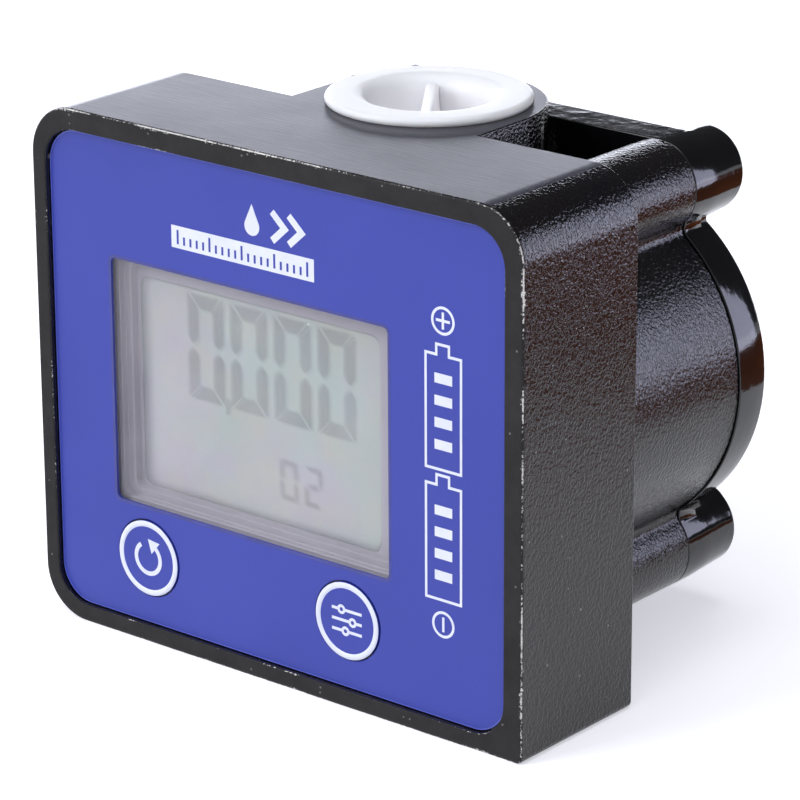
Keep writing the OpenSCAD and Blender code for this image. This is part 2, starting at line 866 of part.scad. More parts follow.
module battery_cap()
    color("#222224") translate([bay_x, bay_y, 0]) difference() {
        cylinder(r = cap_d / 2, h = cap_l);
        translate([0, 0, spring_seat_z]) cylinder(r = spring_recess_r, h = cap_l);
        translate([-cap_d, -cap_slot_w / 2, -cut]) cube([2 * cap_d, cap_slot_w, cap_slot_h + cut]);
        translate([0, 0, cap_seal_z]) difference() {
            cylinder(r = cap_d, h = cap_seal_h);
            cylinder(r = cap_d / 2 - cap_seal_w, h = cap_seal_h);
        }
    }

module battery_cap_seal()
    color("#202022") translate([bay_x, bay_y, cap_seal_z]) difference() {
        cylinder(r = cap_d / 2, h = cap_seal_h);
        translate([0, 0, -cut]) cylinder(r = cap_d / 2 - cap_seal_w, h = cap_seal_h + 2 * cut);
    }

module port_cap() {
    flange_edge = cap_flange_t / 2;
    recess_r = cap_recess_d / 2;
    color("#f2f1f5") translate([0, 0, outlet_z]) {
        rotate_extrude() difference() {
            union() {
                square([cap_flange_d / 2 - flange_edge, cap_flange_t]);
                translate([cap_flange_d / 2 - flange_edge, flange_edge]) circle(r = flange_edge, $fn = 48);
                translate([0, -cap_plug_l]) square([cap_plug_r, cap_plug_l + flange_edge]);
            }
            translate([0, -cap_plug_l + cap_floor]) square([recess_r, cap_plug_l + cap_flange_t]);
            polygon([
                [0, cap_flange_t + cut], [0, 0], [recess_r, cap_flange_t - cap_mouth],
                [recess_r + cap_mouth, cap_flange_t], [recess_r + cap_mouth, cap_flange_t + cut]
            ]);
        }
        rotate([0, 0, cap_rib_angle])
            translate([-recess_r - fit_gap, -cap_rib_t / 2, -cap_plug_l + cap_floor - fit_gap]) cube([
                2 * (recess_r + fit_gap), cap_rib_t,
                cap_plug_l - cap_floor + cap_flange_t - cap_rib_drop
            ]);
    }
}

meter_body();
rear_cover();
cover_screws();
chamber_seal();
gear_shafts();
left_oval_gear();
right_oval_gear();
gear_magnets();
face_label();
window_pane();
display_panel();
panel_gasket();
panel_screws();
lcd_cell();
contact_strips();
circuit_board();
board_screws();
controller_chip();
quartz_crystal();
board_capacitors();
reed_switches();
key_switches();
reset_key();
reset_plunger();
cal_key();
cal_plunger();
upper_cell();
lower_cell();
battery_contact();
contact_insulator();
battery_spring();
battery_cap();
battery_cap_seal();
port_cap();
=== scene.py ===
"""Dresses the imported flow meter: paint, printed label, display, keys, port cap and the studio."""

import math

import bmesh
import bpy
from bpy.props import FloatProperty, FloatVectorProperty, PointerProperty
from mathutils import Matrix, Quaternion, Vector


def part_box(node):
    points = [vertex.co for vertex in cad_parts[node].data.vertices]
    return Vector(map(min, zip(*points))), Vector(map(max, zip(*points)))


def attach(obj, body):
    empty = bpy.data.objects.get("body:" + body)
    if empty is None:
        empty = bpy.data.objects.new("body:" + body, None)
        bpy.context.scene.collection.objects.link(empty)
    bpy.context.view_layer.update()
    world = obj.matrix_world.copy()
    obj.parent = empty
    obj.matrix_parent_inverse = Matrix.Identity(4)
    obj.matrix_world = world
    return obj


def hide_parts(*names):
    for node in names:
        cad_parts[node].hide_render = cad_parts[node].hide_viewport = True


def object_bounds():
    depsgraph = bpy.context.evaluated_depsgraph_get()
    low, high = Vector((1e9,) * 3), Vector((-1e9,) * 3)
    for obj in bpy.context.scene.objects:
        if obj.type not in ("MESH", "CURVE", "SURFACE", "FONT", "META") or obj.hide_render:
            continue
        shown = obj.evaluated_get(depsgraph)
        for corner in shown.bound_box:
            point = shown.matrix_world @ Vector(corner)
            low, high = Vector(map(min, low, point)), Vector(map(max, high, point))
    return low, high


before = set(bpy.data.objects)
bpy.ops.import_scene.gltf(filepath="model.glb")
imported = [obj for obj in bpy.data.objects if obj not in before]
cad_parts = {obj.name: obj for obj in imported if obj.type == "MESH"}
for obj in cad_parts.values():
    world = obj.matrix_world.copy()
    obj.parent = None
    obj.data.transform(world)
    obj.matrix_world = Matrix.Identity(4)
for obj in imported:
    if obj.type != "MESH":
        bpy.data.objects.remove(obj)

bl_info = {
    "name": "Digital flow meter",
    "version": (1, 0, 0),
    "blender": (4, 5, 0),
    "location": "3D View > Sidebar > Flow meter",
    "description": "Finishes, prints and studio for an in-line flow meter with oval gears",
    "category": "Object",
}

MM = 0.001
WELD = 0.001 * MM
FLAT_ANGLE = math.radians(0.4)
SHARP_ANGLE = math.radians(33)
CAD_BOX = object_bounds()

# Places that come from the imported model
BODY_LOW, BODY_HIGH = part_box("meter_body")
COVER_LOW, COVER_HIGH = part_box("rear_cover")
LABEL_LOW, LABEL_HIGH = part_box("face_label")
PANE_LOW, PANE_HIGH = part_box("window_pane")
LCD_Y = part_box("lcd_cell")[0].y
SHAFT_LOW, SHAFT_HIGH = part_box("gear_shafts")
CAP_LOW, CAP_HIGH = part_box("port_cap")
BATTERY_CAP_LOW, BATTERY_CAP_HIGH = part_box("battery_cap")
SCREW_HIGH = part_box("cover_screws")[1]

FRONT_Y = BODY_LOW.y
TOP_Z = BODY_HIGH.z
SEAM_Y = COVER_LOW.y
BOX_DEPTH = 23.1 * MM
BOX_REAR_Y = FRONT_Y + BOX_DEPTH
CHAMBER_Z = (SHAFT_LOW.z + SHAFT_HIGH.z) / 2
SHAFT_R = 3 * MM
GEAR_X = SHAFT_HIGH.x - SHAFT_R
COVER_ARC_R = COVER_HIGH.x - GEAR_X
SCREW_HEAD_R = 4.25 * MM
LUG_X = SCREW_HIGH.x - SCREW_HEAD_R
LUG_RISE = SCREW_HIGH.z - SCREW_HEAD_R - CHAMBER_Z
BAY_X = (BATTERY_CAP_LOW.x + BATTERY_CAP_HIGH.x) / 2
BAY_Y = (BATTERY_CAP_LOW.y + BATTERY_CAP_HIGH.y) / 2
PANE_LAP = 0.9 * MM
WINDOW = (
    PANE_LOW.x + PANE_LAP, PANE_LOW.z + PANE_LAP, PANE_HIGH.x - PANE_LAP, PANE_HIGH.z - PANE_LAP
)
WINDOW_R = 1 * MM
PORT_R = 9.3 * MM
PORT_DEPTH = 14 * MM
BORES_R = 21 * MM
LUG_BORE_R = 5 * MM
BAY_MOUTH_R = 9 * MM
NEAR = 0.05 * MM


# Keywords that settings of one kind share
COLOUR = {"subtype": "COLOR", "min": 0, "max": 1}
LENGTH = {"subtype": "DISTANCE", "unit": "LENGTH"}
ANGLE = {"subtype": "ANGLE", "unit": "ROTATION"}


class PaintSettings(bpy.types.PropertyGroup):
    """Paint of the casting and of the rear cover."""

    paint: FloatVectorProperty(
        name="Paint", description="Colour of the black powder coat",
        default=(0.003, 0.003, 0.0055), **COLOUR,
    )
    rim: FloatVectorProperty(
        name="Rim", description="Colour of the rubbed front rim",
        default=(0.0115, 0.011, 0.0115), **COLOUR,
    )
    cover: FloatVectorProperty(
        name="Cover", description="Colour of the glossy rear cover",
        default=(0.004, 0.004, 0.005), **COLOUR,
    )
    bare_metal: FloatVectorProperty(
        name="Bare metal", description="Colour of the metal under chipped paint",
        default=(0.6, 0.59, 0.57), **COLOUR,
    )
    edge: FloatProperty(
        name="Edge radius", description="Radius of the casting's outer edges",
        default=0.4 * MM, min=0.1 * MM, max=1 * MM, **LENGTH,
    )
    rear_edge: FloatProperty(
        name="Rear edge radius", description="Radius of the box's rear edges and of the joint",
        default=0.22 * MM, min=0.1 * MM, max=1 * MM, **LENGTH,
    )
    cover_edge: FloatProperty(
        name="Cover edge radius", description="Radius of the cover's edge at the joint",
        default=0.2 * MM, min=0.1 * MM, max=0.28 * MM, **LENGTH,
    )
    cover_slack: FloatProperty(
        name="Cover slack", description="How far the cover's arcs are ground back at the joint",
        default=0.3 * MM, min=0, max=0.3 * MM, **LENGTH,
    )
    inner_edge: FloatProperty(
        name="Recess edge radius", description="Radius of the rim's edge round the label",
        default=0.25 * MM, min=0.05 * MM, max=0.6 * MM, **LENGTH,
    )


class LabelSettings(bpy.types.PropertyGroup):
    """Printed film on the front, and what is printed on it."""

    film: FloatVectorProperty(
        name="Film", description="Blue of the label and the keys",
        default=(0.038, 0.057, 0.39), **COLOUR,
    )
    # Painted highlight: the film's lighter cut edge also stands in for light catching the label's
    # edge
    film_edge: FloatVectorProperty(
        name="Film edge", description="Lighter blue where the film is cut",
        default=(0.12, 0.155, 0.68), **COLOUR,
    )
    # Painted shade: a darker blue line round the window, for the shade at the window's edge
    window_edge: FloatVectorProperty(
        name="Window edge", description="Darker blue line round the window",
        default=(0.04, 0.046, 0.22), **COLOUR,
    )
    ink: FloatVectorProperty(
        name="Ink", description="White of the printed marks", default=(0.82, 0.85, 0.95), **COLOUR,
    )
    ink_depth: FloatProperty(
        name="Ink thickness", description="How far the print stands proud of the film",
        default=0.03 * MM, min=0.01 * MM, max=0.1 * MM, **LENGTH,
    )
    line: FloatProperty(
        name="Line width", description="Width of the thin printed lines",
        default=0.36 * MM, min=0.2 * MM, max=0.6 * MM, **LENGTH,
    )


class DisplaySettings(bpy.types.PropertyGroup):
    """The display cell and the frame that is seen round it."""

    frame_grey: FloatVectorProperty(
        name="Frame", description="Grey of the stepped frame", default=(0.37, 0.35, 0.39), **COLOUR,
    )
    glass: FloatVectorProperty(
        name="Display", description="Grey of the display behind its glass",
        default=(0.415, 0.445, 0.41), **COLOUR,
    )
    segment: FloatVectorProperty(
        name="Segments", description="Tint of the unlit segments",
        default=(0.2, 0.19, 0.24), **COLOUR,
    )
    digit_width: FloatProperty(
        name="Digit width", description="Width of a large digit",
        default=6.3 * MM, min=4 * MM, max=8 * MM, **LENGTH,
    )
    digit_height: FloatProperty(
        name="Digit height", description="Height of a large digit",
        default=14.4 * MM, min=10 * MM, max=18 * MM, **LENGTH,
    )


class StageSettings(bpy.types.PropertyGroup):
    """Camera, lamps and floor."""

    azimuth: FloatProperty(
        name="Azimuth", description="Camera's direction round the meter",
        default=math.radians(39.678), **ANGLE,
    )
    elevation: FloatProperty(
        name="Elevation", description="Camera's angle above the horizon",
        default=math.radians(19.518), **ANGLE,
    )
    roll: FloatProperty(
        name="Roll", description="Camera's turn about its own axis",
        default=math.radians(-0.301), **ANGLE,
    )
    distance: FloatProperty(
        name="Distance", description="From the camera to the aim",
        default=534.26 * MM, min=0.2, **LENGTH,
    )
    aim: FloatVectorProperty(
        name="Aim", description="Point that the camera looks at", subtype="TRANSLATION",
        default=(3.262 * MM, -10.242 * MM, 33.941 * MM),
    )
    lens: FloatProperty(
        name="Lens", description="Focal length on a 36 mm wide frame", default=182.79, min=20,
    )
    floor: FloatVectorProperty(
        name="Floor", description="Colour of the pale floor", default=(0.86, 0.86, 0.87), **COLOUR,
    )
    floor_lift: FloatVectorProperty(
        name="Floor lift", description="How much whiter the floor is as a background",
        default=(0.5, 0.5, 0.54), **COLOUR,
    )
    mat: FloatVectorProperty(
        name="Mat", description="Brown of the mat beside the floor, which only gloss shows",
        default=(0.42, 0.12, 0.03), **COLOUR,
    )


class MeterSettings(bpy.types.PropertyGroup):
    """All of the meter's settings."""

    paint: PointerProperty(type=PaintSettings)
    label: PointerProperty(type=LabelSettings)
    display: PointerProperty(type=DisplaySettings)
    stage: PointerProperty(type=StageSettings)


# Shader building


def feed(tree, value, socket):
    """Gives an input a plain value, or links another node's output to it."""
    if isinstance(value, bpy.types.NodeSocket):
        tree.links.new(value, socket)
    else:
        socket.default_value = value


def add_node(tree, kind, **values):
    """Adds a node. Each value goes to the input of that name, or else to the node's property."""
    node = tree.nodes.new(kind)
    for name, value in values.items():
        socket = node.inputs.get(name.replace("_", " "))
        if socket is None:
            setattr(node, name, value)
        else:
            feed(tree, value, socket)
    return node


def maths(tree, operation, *values):
    """Result of a calculation with sockets or plain numbers."""
    node = add_node(tree, "ShaderNodeMath", operation=operation)
    for value, socket in zip(values, node.inputs):
        feed(tree, value, socket)
    return node.outputs[0]


def share_of(tree, value, low, high, **values):
    """Share of the way from low to high, eased at both ends unless told otherwise."""
    settings = {"interpolation_type": "SMOOTHSTEP", **values}
    settings |= {"Value": value, "From_Min": low, "From_Max": high}
    return add_node(tree, "ShaderNodeMapRange", **settings).outputs[0]


def noise(tree, **values):
    """Cloudy texture, over the object's own coordinates unless told otherwise."""
    if "Vector" not in values:
        values["Vector"] = object_place(tree)
    return add_node(tree, "ShaderNodeTexNoise", **values).outputs[0]


def object_place(tree):
    """Place on the object, in its own coordinates."""
    return add_node(tree, "ShaderNodeTexCoord").outputs["Object"]


def new_group(name, inputs, output):
    """An empty shader node group with named float or vector inputs and one float output."""
    tree = bpy.data.node_groups.new(name, "ShaderNodeTree")
    for label, default in inputs.items():
        kind = "NodeSocketVector" if isinstance(default, tuple) else "NodeSocketFloat"
        socket = tree.interface.new_socket(label, in_out="INPUT", socket_type=kind)
        socket.default_value = default
    tree.interface.new_socket(output, in_out="OUTPUT", socket_type="NodeSocketFloat")
    given = tree.nodes.new("NodeGroupInput").outputs
    return tree, given, tree.nodes.new("NodeGroupOutput").inputs[0]


def grain_group():
    """Height of a pebbled or brushed surface."""
    inputs = {"Scale": 1500.0, "Stretch": (1.0, 1.0, 1.0), "Detail": 2.0}
    tree, given, result = new_group("Surface grain", inputs, "Height")
    stretch = add_node(tree, "ShaderNodeVectorMath", operation="MULTIPLY")
    for value, socket in zip((object_place(tree), given["Stretch"]), stretch.inputs):
        feed(tree, value, socket)
    pebbles = noise(
        tree, Vector=stretch.outputs[0], Scale=given["Scale"], Detail=given["Detail"],
        Roughness=0.45, Distortion=0.35,
    )
    feed(tree, share_of(tree, pebbles, 0.3, 0.7), result)
    return tree


def mottle_group():
    """A slow change over the surface, between a low and a high value."""
    inputs = {"Scale": 60.0, "Low": 0.3, "High": 0.5}
    tree, given, result = new_group("Mottling", inputs, "Value")
    cloud = noise(tree, Scale=given["Scale"], Detail=4.0, Roughness=0.6)
    value = share_of(
        tree, cloud, 0.32, 0.68, interpolation_type="LINEAR", To_Min=given["Low"],
        To_Max=given["High"],
    )
    feed(tree, value, result)
    return tree


def worn_group():
    """Mask of chipped paint: broken specks where the mesh's worn attribute is high."""
    tree, given, result = new_group("Worn edges", {"Scale": 1200.0, "Amount": 0.5}, "Mask")
    worn = add_node(tree, "ShaderNodeAttribute", attribute_name="worn")
    chips = noise(tree, Scale=given["Scale"], Detail=4.0, Roughness=0.7)
    runs = noise(tree, Scale=110.0, Detail=2.0)
    specks = maths(tree, "MULTIPLY_ADD", runs, 0.9, chips)
    reach = maths(tree, "MULTIPLY", worn.outputs["Fac"], given["Amount"])
    feed(tree, share_of(tree, maths(tree, "ADD", specks, reach), 1.34, 1.42), result)
    return tree


def dust_group():
    """Mask of single fine specks, few or many by Cover."""
    inputs = {"Scale": 300.0, "Size": 0.12, "Cover": 0.1}
    tree, given, result = new_group("Dust specks", inputs, "Mask")
    cells = add_node(
        tree, "ShaderNodeTexVoronoi", feature="F1", Vector=object_place(tree), Scale=given["Scale"]
    )
    near = maths(tree, "LESS_THAN", cells.outputs["Distance"], given["Size"])
    pick = add_node(tree, "ShaderNodeSeparateColor", Color=cells.outputs["Color"])
    few = maths(tree, "LESS_THAN", pick.outputs[0], given["Cover"])
    feed(tree, maths(tree, "MULTIPLY", near, few), result)
    return tree


GROUPS = {}


def shared(name):
    """The shader group of that name, built at its first use."""
    makers = {"grain": grain_group, "mottle": mottle_group, "worn": worn_group, "dust": dust_group}
    if name not in GROUPS:
        GROUPS[name] = makers[name]()
    return GROUPS[name]


def use_group(tree, name, **values):
    """Result of a shared group, placed in a material with its own values."""
    node = tree.nodes.new("ShaderNodeGroup")
    node.node_tree = shared(name)
    for label, value in values.items():
        feed(tree, value, node.inputs[label])
    return node.outputs[0]


def feed_colour(tree, value, socket):
    """Like feed, for a colour. A plain colour has three numbers."""
    feed(tree, (*value, 1.0) if isinstance(value, tuple) else value, socket)


def blend_colour(tree, below, above, mask):
    """Mixes a colour over another by a mask. Each colour is a socket or a plain value."""
    mix = add_node(tree, "ShaderNodeMix", data_type="RGBA")
    feed(tree, mask, mix.inputs[0])
    feed_colour(tree, below, mix.inputs[6])
    feed_colour(tree, above, mix.inputs[7])
    return mix.outputs[2]


def new_material(name):
    """A material, its node tree and its shader's inputs."""
    material = bpy.data.materials.new(name)
    material.use_nodes = True
    tree = material.node_tree
    return material, tree, tree.nodes["Principled BSDF"].inputs


def finish_material(
    name, colour, rough, grain=None, tint=None, worn=None, dust=None, metal=0.0, **values
):
    """A surface finish.

    rough is the lowest and highest roughness and the scale of its mottling. grain is the bump's
    scale, its height in millimetres and its stretch if it has one. tint is a second colour and its
    scale. worn is the chips' scale, amount and metal colour. dust is the specks' scale, size, cover
    and colour. Other values go to the shader's own sockets.
    """
    material, tree, shader = new_material(name)
    shader["Metallic"].default_value = metal
    for label, value in values.items():
        shader[label.replace("_", " ")].default_value = value
    if tint:
        cloud = use_group(tree, "mottle", Scale=tint[1], Low=0.0, High=1.0)
        colour = blend_colour(tree, colour, tint[0], cloud)
    if worn:
        chips = use_group(tree, "worn", Scale=worn[0], Amount=worn[1])
        colour = blend_colour(tree, colour, worn[2], chips)
        feed(tree, chips, shader["Metallic"])
    if dust:
        specks = use_group(tree, "dust", Scale=dust[0], Size=dust[1], Cover=dust[2])
        colour = blend_colour(tree, colour, dust[3], specks)
    feed_colour(tree, colour, shader["Base Color"])
    sheen = use_group(tree, "mottle", Scale=rough[2], Low=rough[0], High=rough[1])
    feed(tree, sheen, shader["Roughness"])
    if grain:
        scale, height, stretch = (*grain, (1.0, 1.0, 1.0))[:3]
        pebbles = use_group(tree, "grain", Scale=scale, Stretch=stretch)
        bump = add_node(tree, "ShaderNodeBump", Distance=height * MM, Strength=1.0, Height=pebbles)
        feed(tree, bump.outputs[0], shader["Normal"])
    return material


# Mesh building


def solid_mesh(node):
    """The CAD node's mesh, welded and with whole flat faces, as an editable copy."""
    mesh = bmesh.new()
    mesh.from_mesh(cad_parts[node].data)
    bmesh.ops.remove_doubles(mesh, verts=mesh.verts, dist=WELD)
    bmesh.ops.dissolve_limit(mesh, angle_limit=FLAT_ANGLE, verts=mesh.verts, edges=mesh.edges)
    return mesh


def on_outline(p):
    """Whether a point at the cover's joint lies on the chamber's outline, and not on a bore."""
    from_gears = math.hypot(max(abs(p.x) - GEAR_X, 0), p.z - CHAMBER_Z)
    from_lug = math.hypot(abs(p.x) - LUG_X, abs(p.z - CHAMBER_Z) - LUG_RISE)
    return from_gears > BORES_R and from_lug > LUG_BORE_R


def middle(edge):
    """Point half way along an edge."""
    return (edge.verts[0].co + edge.verts[1].co) / 2


def sharp_edges(mesh, chosen):
    """Edges that stand out sharply and that the test chooses, by their middle."""
    return [
        edge for edge in mesh.edges
        if len(edge.link_faces) == 2 and edge.is_convex
        and edge.calc_face_angle(0) > SHARP_ANGLE and chosen(middle(edge))
    ]


def round_edges(mesh, edges, radius, worn):
    """Rounds edges and marks the new faces as worn by that much, most on their crest."""
    layer = mesh.faces.layers.float.get("worn") or mesh.faces.layers.float.new("worn")
    made = bmesh.ops.bevel(
        mesh, geom=[edge for edge in edges if edge.is_valid], offset=radius,
        offset_type="OFFSET", segments=3, profile=0.5, affect="EDGES", clamp_overlap=False,
        material=-1,
    )
    for face in made["faces"]:
        crest = 0.6 < abs(face.normal.y) < 0.8
        face[layer] = worn if crest else worn * 0.55


def new_piece(name, mesh, materials, body, replaced=()):
    """Makes a smooth-shaded piece of an editable mesh, riding on a body."""
    data = bpy.data.meshes.new(name)
    mesh.to_mesh(data)
    mesh.free()
    data.polygons.foreach_set("use_smooth", [True] * len(data.polygons))
    data.set_sharp_from_angle(angle=SHARP_ANGLE)
    obj = bpy.data.objects.new(name, data)
    bpy.context.scene.collection.objects.link(obj)
    for material in materials:
        data.materials.append(material)
    weights = obj.modifiers.new("Face weights", "WEIGHTED_NORMAL")
    weights.keep_sharp = True
    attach(obj, body)
    if replaced:
        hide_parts(*replaced)


def dress(node, material, edge=0.0):
    """Gives a CAD node its finish, and softens its edges by a radius in millimetres."""
    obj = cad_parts[node]
    if not obj.material_slots:
        obj.data.materials.append(material)
    for slot in obj.material_slots:
        slot.link = "OBJECT"
        slot.material = material
    if edge:
        weld = obj.modifiers.new("Weld", "WELD")
        weld.merge_threshold = WELD
        flat = obj.modifiers.new("Flat faces", "DECIMATE")
        flat.decimate_type = "DISSOLVE"
        flat.angle_limit = FLAT_ANGLE
        bevel = obj.modifiers.new("Edges", "BEVEL")
        bevel.width = edge * MM
        bevel.segments = 2
        bevel.limit_method = "ANGLE"
        bevel.angle_limit = SHARP_ANGLE
        bevel.use_clamp_overlap = True
        obj.modifiers.new("Face weights", "WEIGHTED_NORMAL")


def arc_points(x, z, r, start, end, count=6):
    """Points on an arc, with angles in degrees."""
    steps = [math.radians(start + (end - start) * i / count) for i in range(count + 1)]
    return [(x + r * math.cos(a), z + r * math.sin(a)) for a in steps]


def rounded_path(sides, r):
    """Rectangle with rounded corners, from its left, lower, right and upper side."""
    x0, z0, x1, z1 = sides
    corners = ((x1 - r, z1 - r), (x0 + r, z1 - r), (x0 + r, z0 + r), (x1 - r, z0 + r))
    path = []
    for i, (x, z) in enumerate(corners):
        path += arc_points(x, z, r, 90 * i, 90 * i + 90)
    return path


def stroke(path, width, closed=False):
    """Quads that follow a path of points with an even width."""
    count = len(path)
    sides = []
    for i, point in enumerate(path):
        here = Vector(point)
        before = Vector(path[i - 1]) if i or closed else None
        after = Vector(path[(i + 1) % count]) if i + 1 < count or closed else None
        coming = (here - before).normalized() if before else (after - here).normalized()
        going = (after - here).normalized() if after else coming
        across = Vector((-coming.y, coming.x)) + Vector((-going.y, going.x))
        across.normalize()
        lean = max(across.dot(Vector((-coming.y, coming.x))), 0.4)
        offset = across * width / 2 / lean
        sides.append((here + offset, here - offset))
    quads = []
    for i in range(count if closed else count - 1):
        a, b = sides[i], sides[(i + 1) % count]
        quads.append([a[0], a[1], b[1], b[0]])
    return quads


def ring_band(x, z, inner, outer, count=48):
    """Quads of a flat ring."""
    return stroke(arc_points(x, z, (inner + outer) / 2, 0, 360, count)[:-1], outer - inner, True)


def bar_face(x0, z0, x1, z1):
    """One rectangle."""
    return [[(x0, z0), (x1, z0), (x1, z1), (x0, z1)]]


def print_plate(name, faces, y, depth, material, body="meter"):
    """Flat printed shapes in millimetres, standing proud of the plane y, towards the front."""
    mesh = bmesh.new()
    for face in faces:
        mesh.faces.new([mesh.verts.new((p[0] * MM, y - depth, p[1] * MM)) for p in face])
    bmesh.ops.remove_doubles(mesh, verts=mesh.verts, dist=WELD)
    grown = bmesh.ops.extrude_face_region(mesh, geom=list(mesh.faces))
    moved = [part for part in grown["geom"] if isinstance(part, bmesh.types.BMVert)]
    bmesh.ops.translate(mesh, verts=moved, vec=(0, depth, 0))
    bmesh.ops.recalc_face_normals(mesh, faces=mesh.faces)
    new_piece(name, mesh, [material], body)


def bridge(mesh, rows):
    """Faces between rows of vertices that close on themselves. A row can be a single point."""
    for low, high in zip(rows, rows[1:]):
        below, above = len(low), len(high)
        for i in range(max(below, above)):
            j = i + 1
            corners = [low[i % below], low[j % below], high[j % above], high[i % above]]
            unique = list(dict.fromkeys(corners))
            if len(unique) > 2:
                mesh.faces.new(unique)


def lathe(mesh, profile):
    """Spins a profile of (radius, height) points about the port's axis."""
    count = 128
    turns = [2 * math.pi * i / count for i in range(count)]
    rows = []
    for r, z in profile:
        around = turns if r > WELD else [0]
        rows.append([mesh.verts.new((r * math.cos(a), r * math.sin(a), z)) for a in around])
    bridge(mesh, rows)


# Operators


class FLOWMETER_OT_casting(bpy.types.Operator):
    """Body casting with rounded, worn edges and powder coat"""

    bl_idname = "flowmeter.casting"
    bl_label = "Body casting"

    # How far the finishes of the front rim and of the top reach down their rounded edges
    rim_reach = 0.4 * MM
    top_reach = 0.2 * MM

    def finishes(self, look):
        """Finishes of the sides, of the front rim and of the smoother top."""
        silver = tuple(look.bare_metal)
        coat = finish_material(
            "Textured powder coat", tuple(look.paint), (0.1, 0.15, 90),
            grain=(2500, 0.042, (1.0, 1.0, 0.85)), tint=((0.008, 0.0055, 0.0045), 45),
            worn=(2600, 0.4, silver), dust=(560, 0.08, 0.06, (0.3, 0.3, 0.31)),
        )
        rubbed = finish_material(
            "Rubbed rim", tuple(look.rim), (0.5, 0.62, 140),
            grain=(2600, 0.014), tint=((0.02, 0.019, 0.019), 260),
            worn=(2600, 0.4, silver), dust=(1000, 0.16, 0.1, (0.14, 0.135, 0.13)),
            Specular_IOR_Level=0.22,
        )
        satin = finish_material(
            "Satin top", (0.026, 0.027, 0.042), (0.28, 0.34, 70),
            grain=(3300, 0.007, (0.08, 1.0, 1.0)), tint=((0.032, 0.033, 0.048), 120),
            worn=(2600, 0.37, silver), dust=(330, 0.1, 0.05, (0.012, 0.012, 0.012)),
            Specular_IOR_Level=0.55,
        )
        return [coat, rubbed, satin]

    def execute(self, context):
        look = context.scene.flow_meter.paint
        mesh = solid_mesh("meter_body")

        def on_rim(p):
            return p.y < FRONT_Y + NEAR

        def inside_label(p):
            slack = 0.3 * MM
            return (
                LABEL_LOW.x - slack < p.x < LABEL_HIGH.x + slack
                and LABEL_LOW.z - slack < p.z < LABEL_HIGH.z + slack
            )

        def behind_rim(p):
            if on_rim(p):
                return False
            if p.z < NEAR or p.z > TOP_Z - NEAR:
                bay = math.hypot(p.x - BAY_X, p.y - BAY_Y) < BAY_MOUTH_R
                return math.hypot(p.x, p.y) > PORT_R + 1 * MM and not bay
            if abs(p.y - BOX_REAR_Y) < NEAR:
                return True
            return p.y > SEAM_Y - NEAR and on_outline(p)

        mouths = sharp_edges(mesh, lambda p: on_rim(p) and inside_label(p))
        others = sharp_edges(mesh, behind_rim)
        rear = [edge for edge in others if abs(middle(edge).y - SEAM_Y) >= NEAR]
        joint = [edge for edge in others if abs(middle(edge).y - SEAM_Y) < NEAR]
        round_edges(mesh, mouths, look.inner_edge, 0.6)
        round_edges(mesh, rear, look.rear_edge, 0.3)
        round_edges(mesh, joint, look.rear_edge, 0.85)
        fronts = sharp_edges(mesh, lambda p: on_rim(p) and not inside_label(p))
        round_edges(mesh, fronts, look.edge, 1.0)
        for face in mesh.faces:
            centre = face.calc_center_median()
            if face.normal.y < -0.6 and centre.y < FRONT_Y + self.rim_reach:
                face.material_index = 1
            elif face.normal.z > 0.97 and centre.z > TOP_Z - self.top_reach:
                face.material_index = 2
        finishes = self.finishes(look)
        new_piece("casting", mesh, finishes, "meter", ["meter_body"])
        return {"FINISHED"}


class FLOWMETER_OT_cover(bpy.types.Operator):
    """Rear cover with rounded edges and gloss paint"""

    bl_idname = "flowmeter.cover"
    bl_label = "Rear cover"

    def grind(self, mesh, slack):
        """Draws the two arcs in by the slack, and less where they run out into the ears."""
        for vert in mesh.verts:
            out = Vector((abs(vert.co.x) - GEAR_X, vert.co.z - CHAMBER_Z))
            beyond = (out.length - COVER_ARC_R) / MM
            share = min((beyond + 1.2) / 0.7, 1.0, (0.9 - beyond) / 0.8)
            if out.x > 0 and share > 0:
                out *= 1 - share * slack / out.length
                vert.co.x = math.copysign(GEAR_X + out.x, vert.co.x)
                vert.co.z = CHAMBER_Z + out.y

    def execute(self, context):
        look = context.scene.flow_meter.paint
        mesh = solid_mesh("rear_cover")
        self.grind(mesh, look.cover_slack)
        joint = sharp_edges(mesh, lambda p: p.y < SEAM_Y + NEAR and on_outline(p))
        ends = sharp_edges(mesh, lambda p: p.y > COVER_HIGH.y - NEAR)
        round_edges(mesh, joint, look.cover_edge, 0.3)
        round_edges(mesh, ends, look.rear_edge, 0.5)
        gloss = finish_material(
            "Gloss black paint", tuple(look.cover), (0.06, 0.11, 120), grain=(520, 0.009),
            worn=(1300, 0.3, tuple(look.bare_metal)), dust=(380, 0.08, 0.07, (0.4, 0.4, 0.4)),
        )
        new_piece("gloss_cover", mesh, [gloss], "meter", ["rear_cover"])
        return {"FINISHED"}


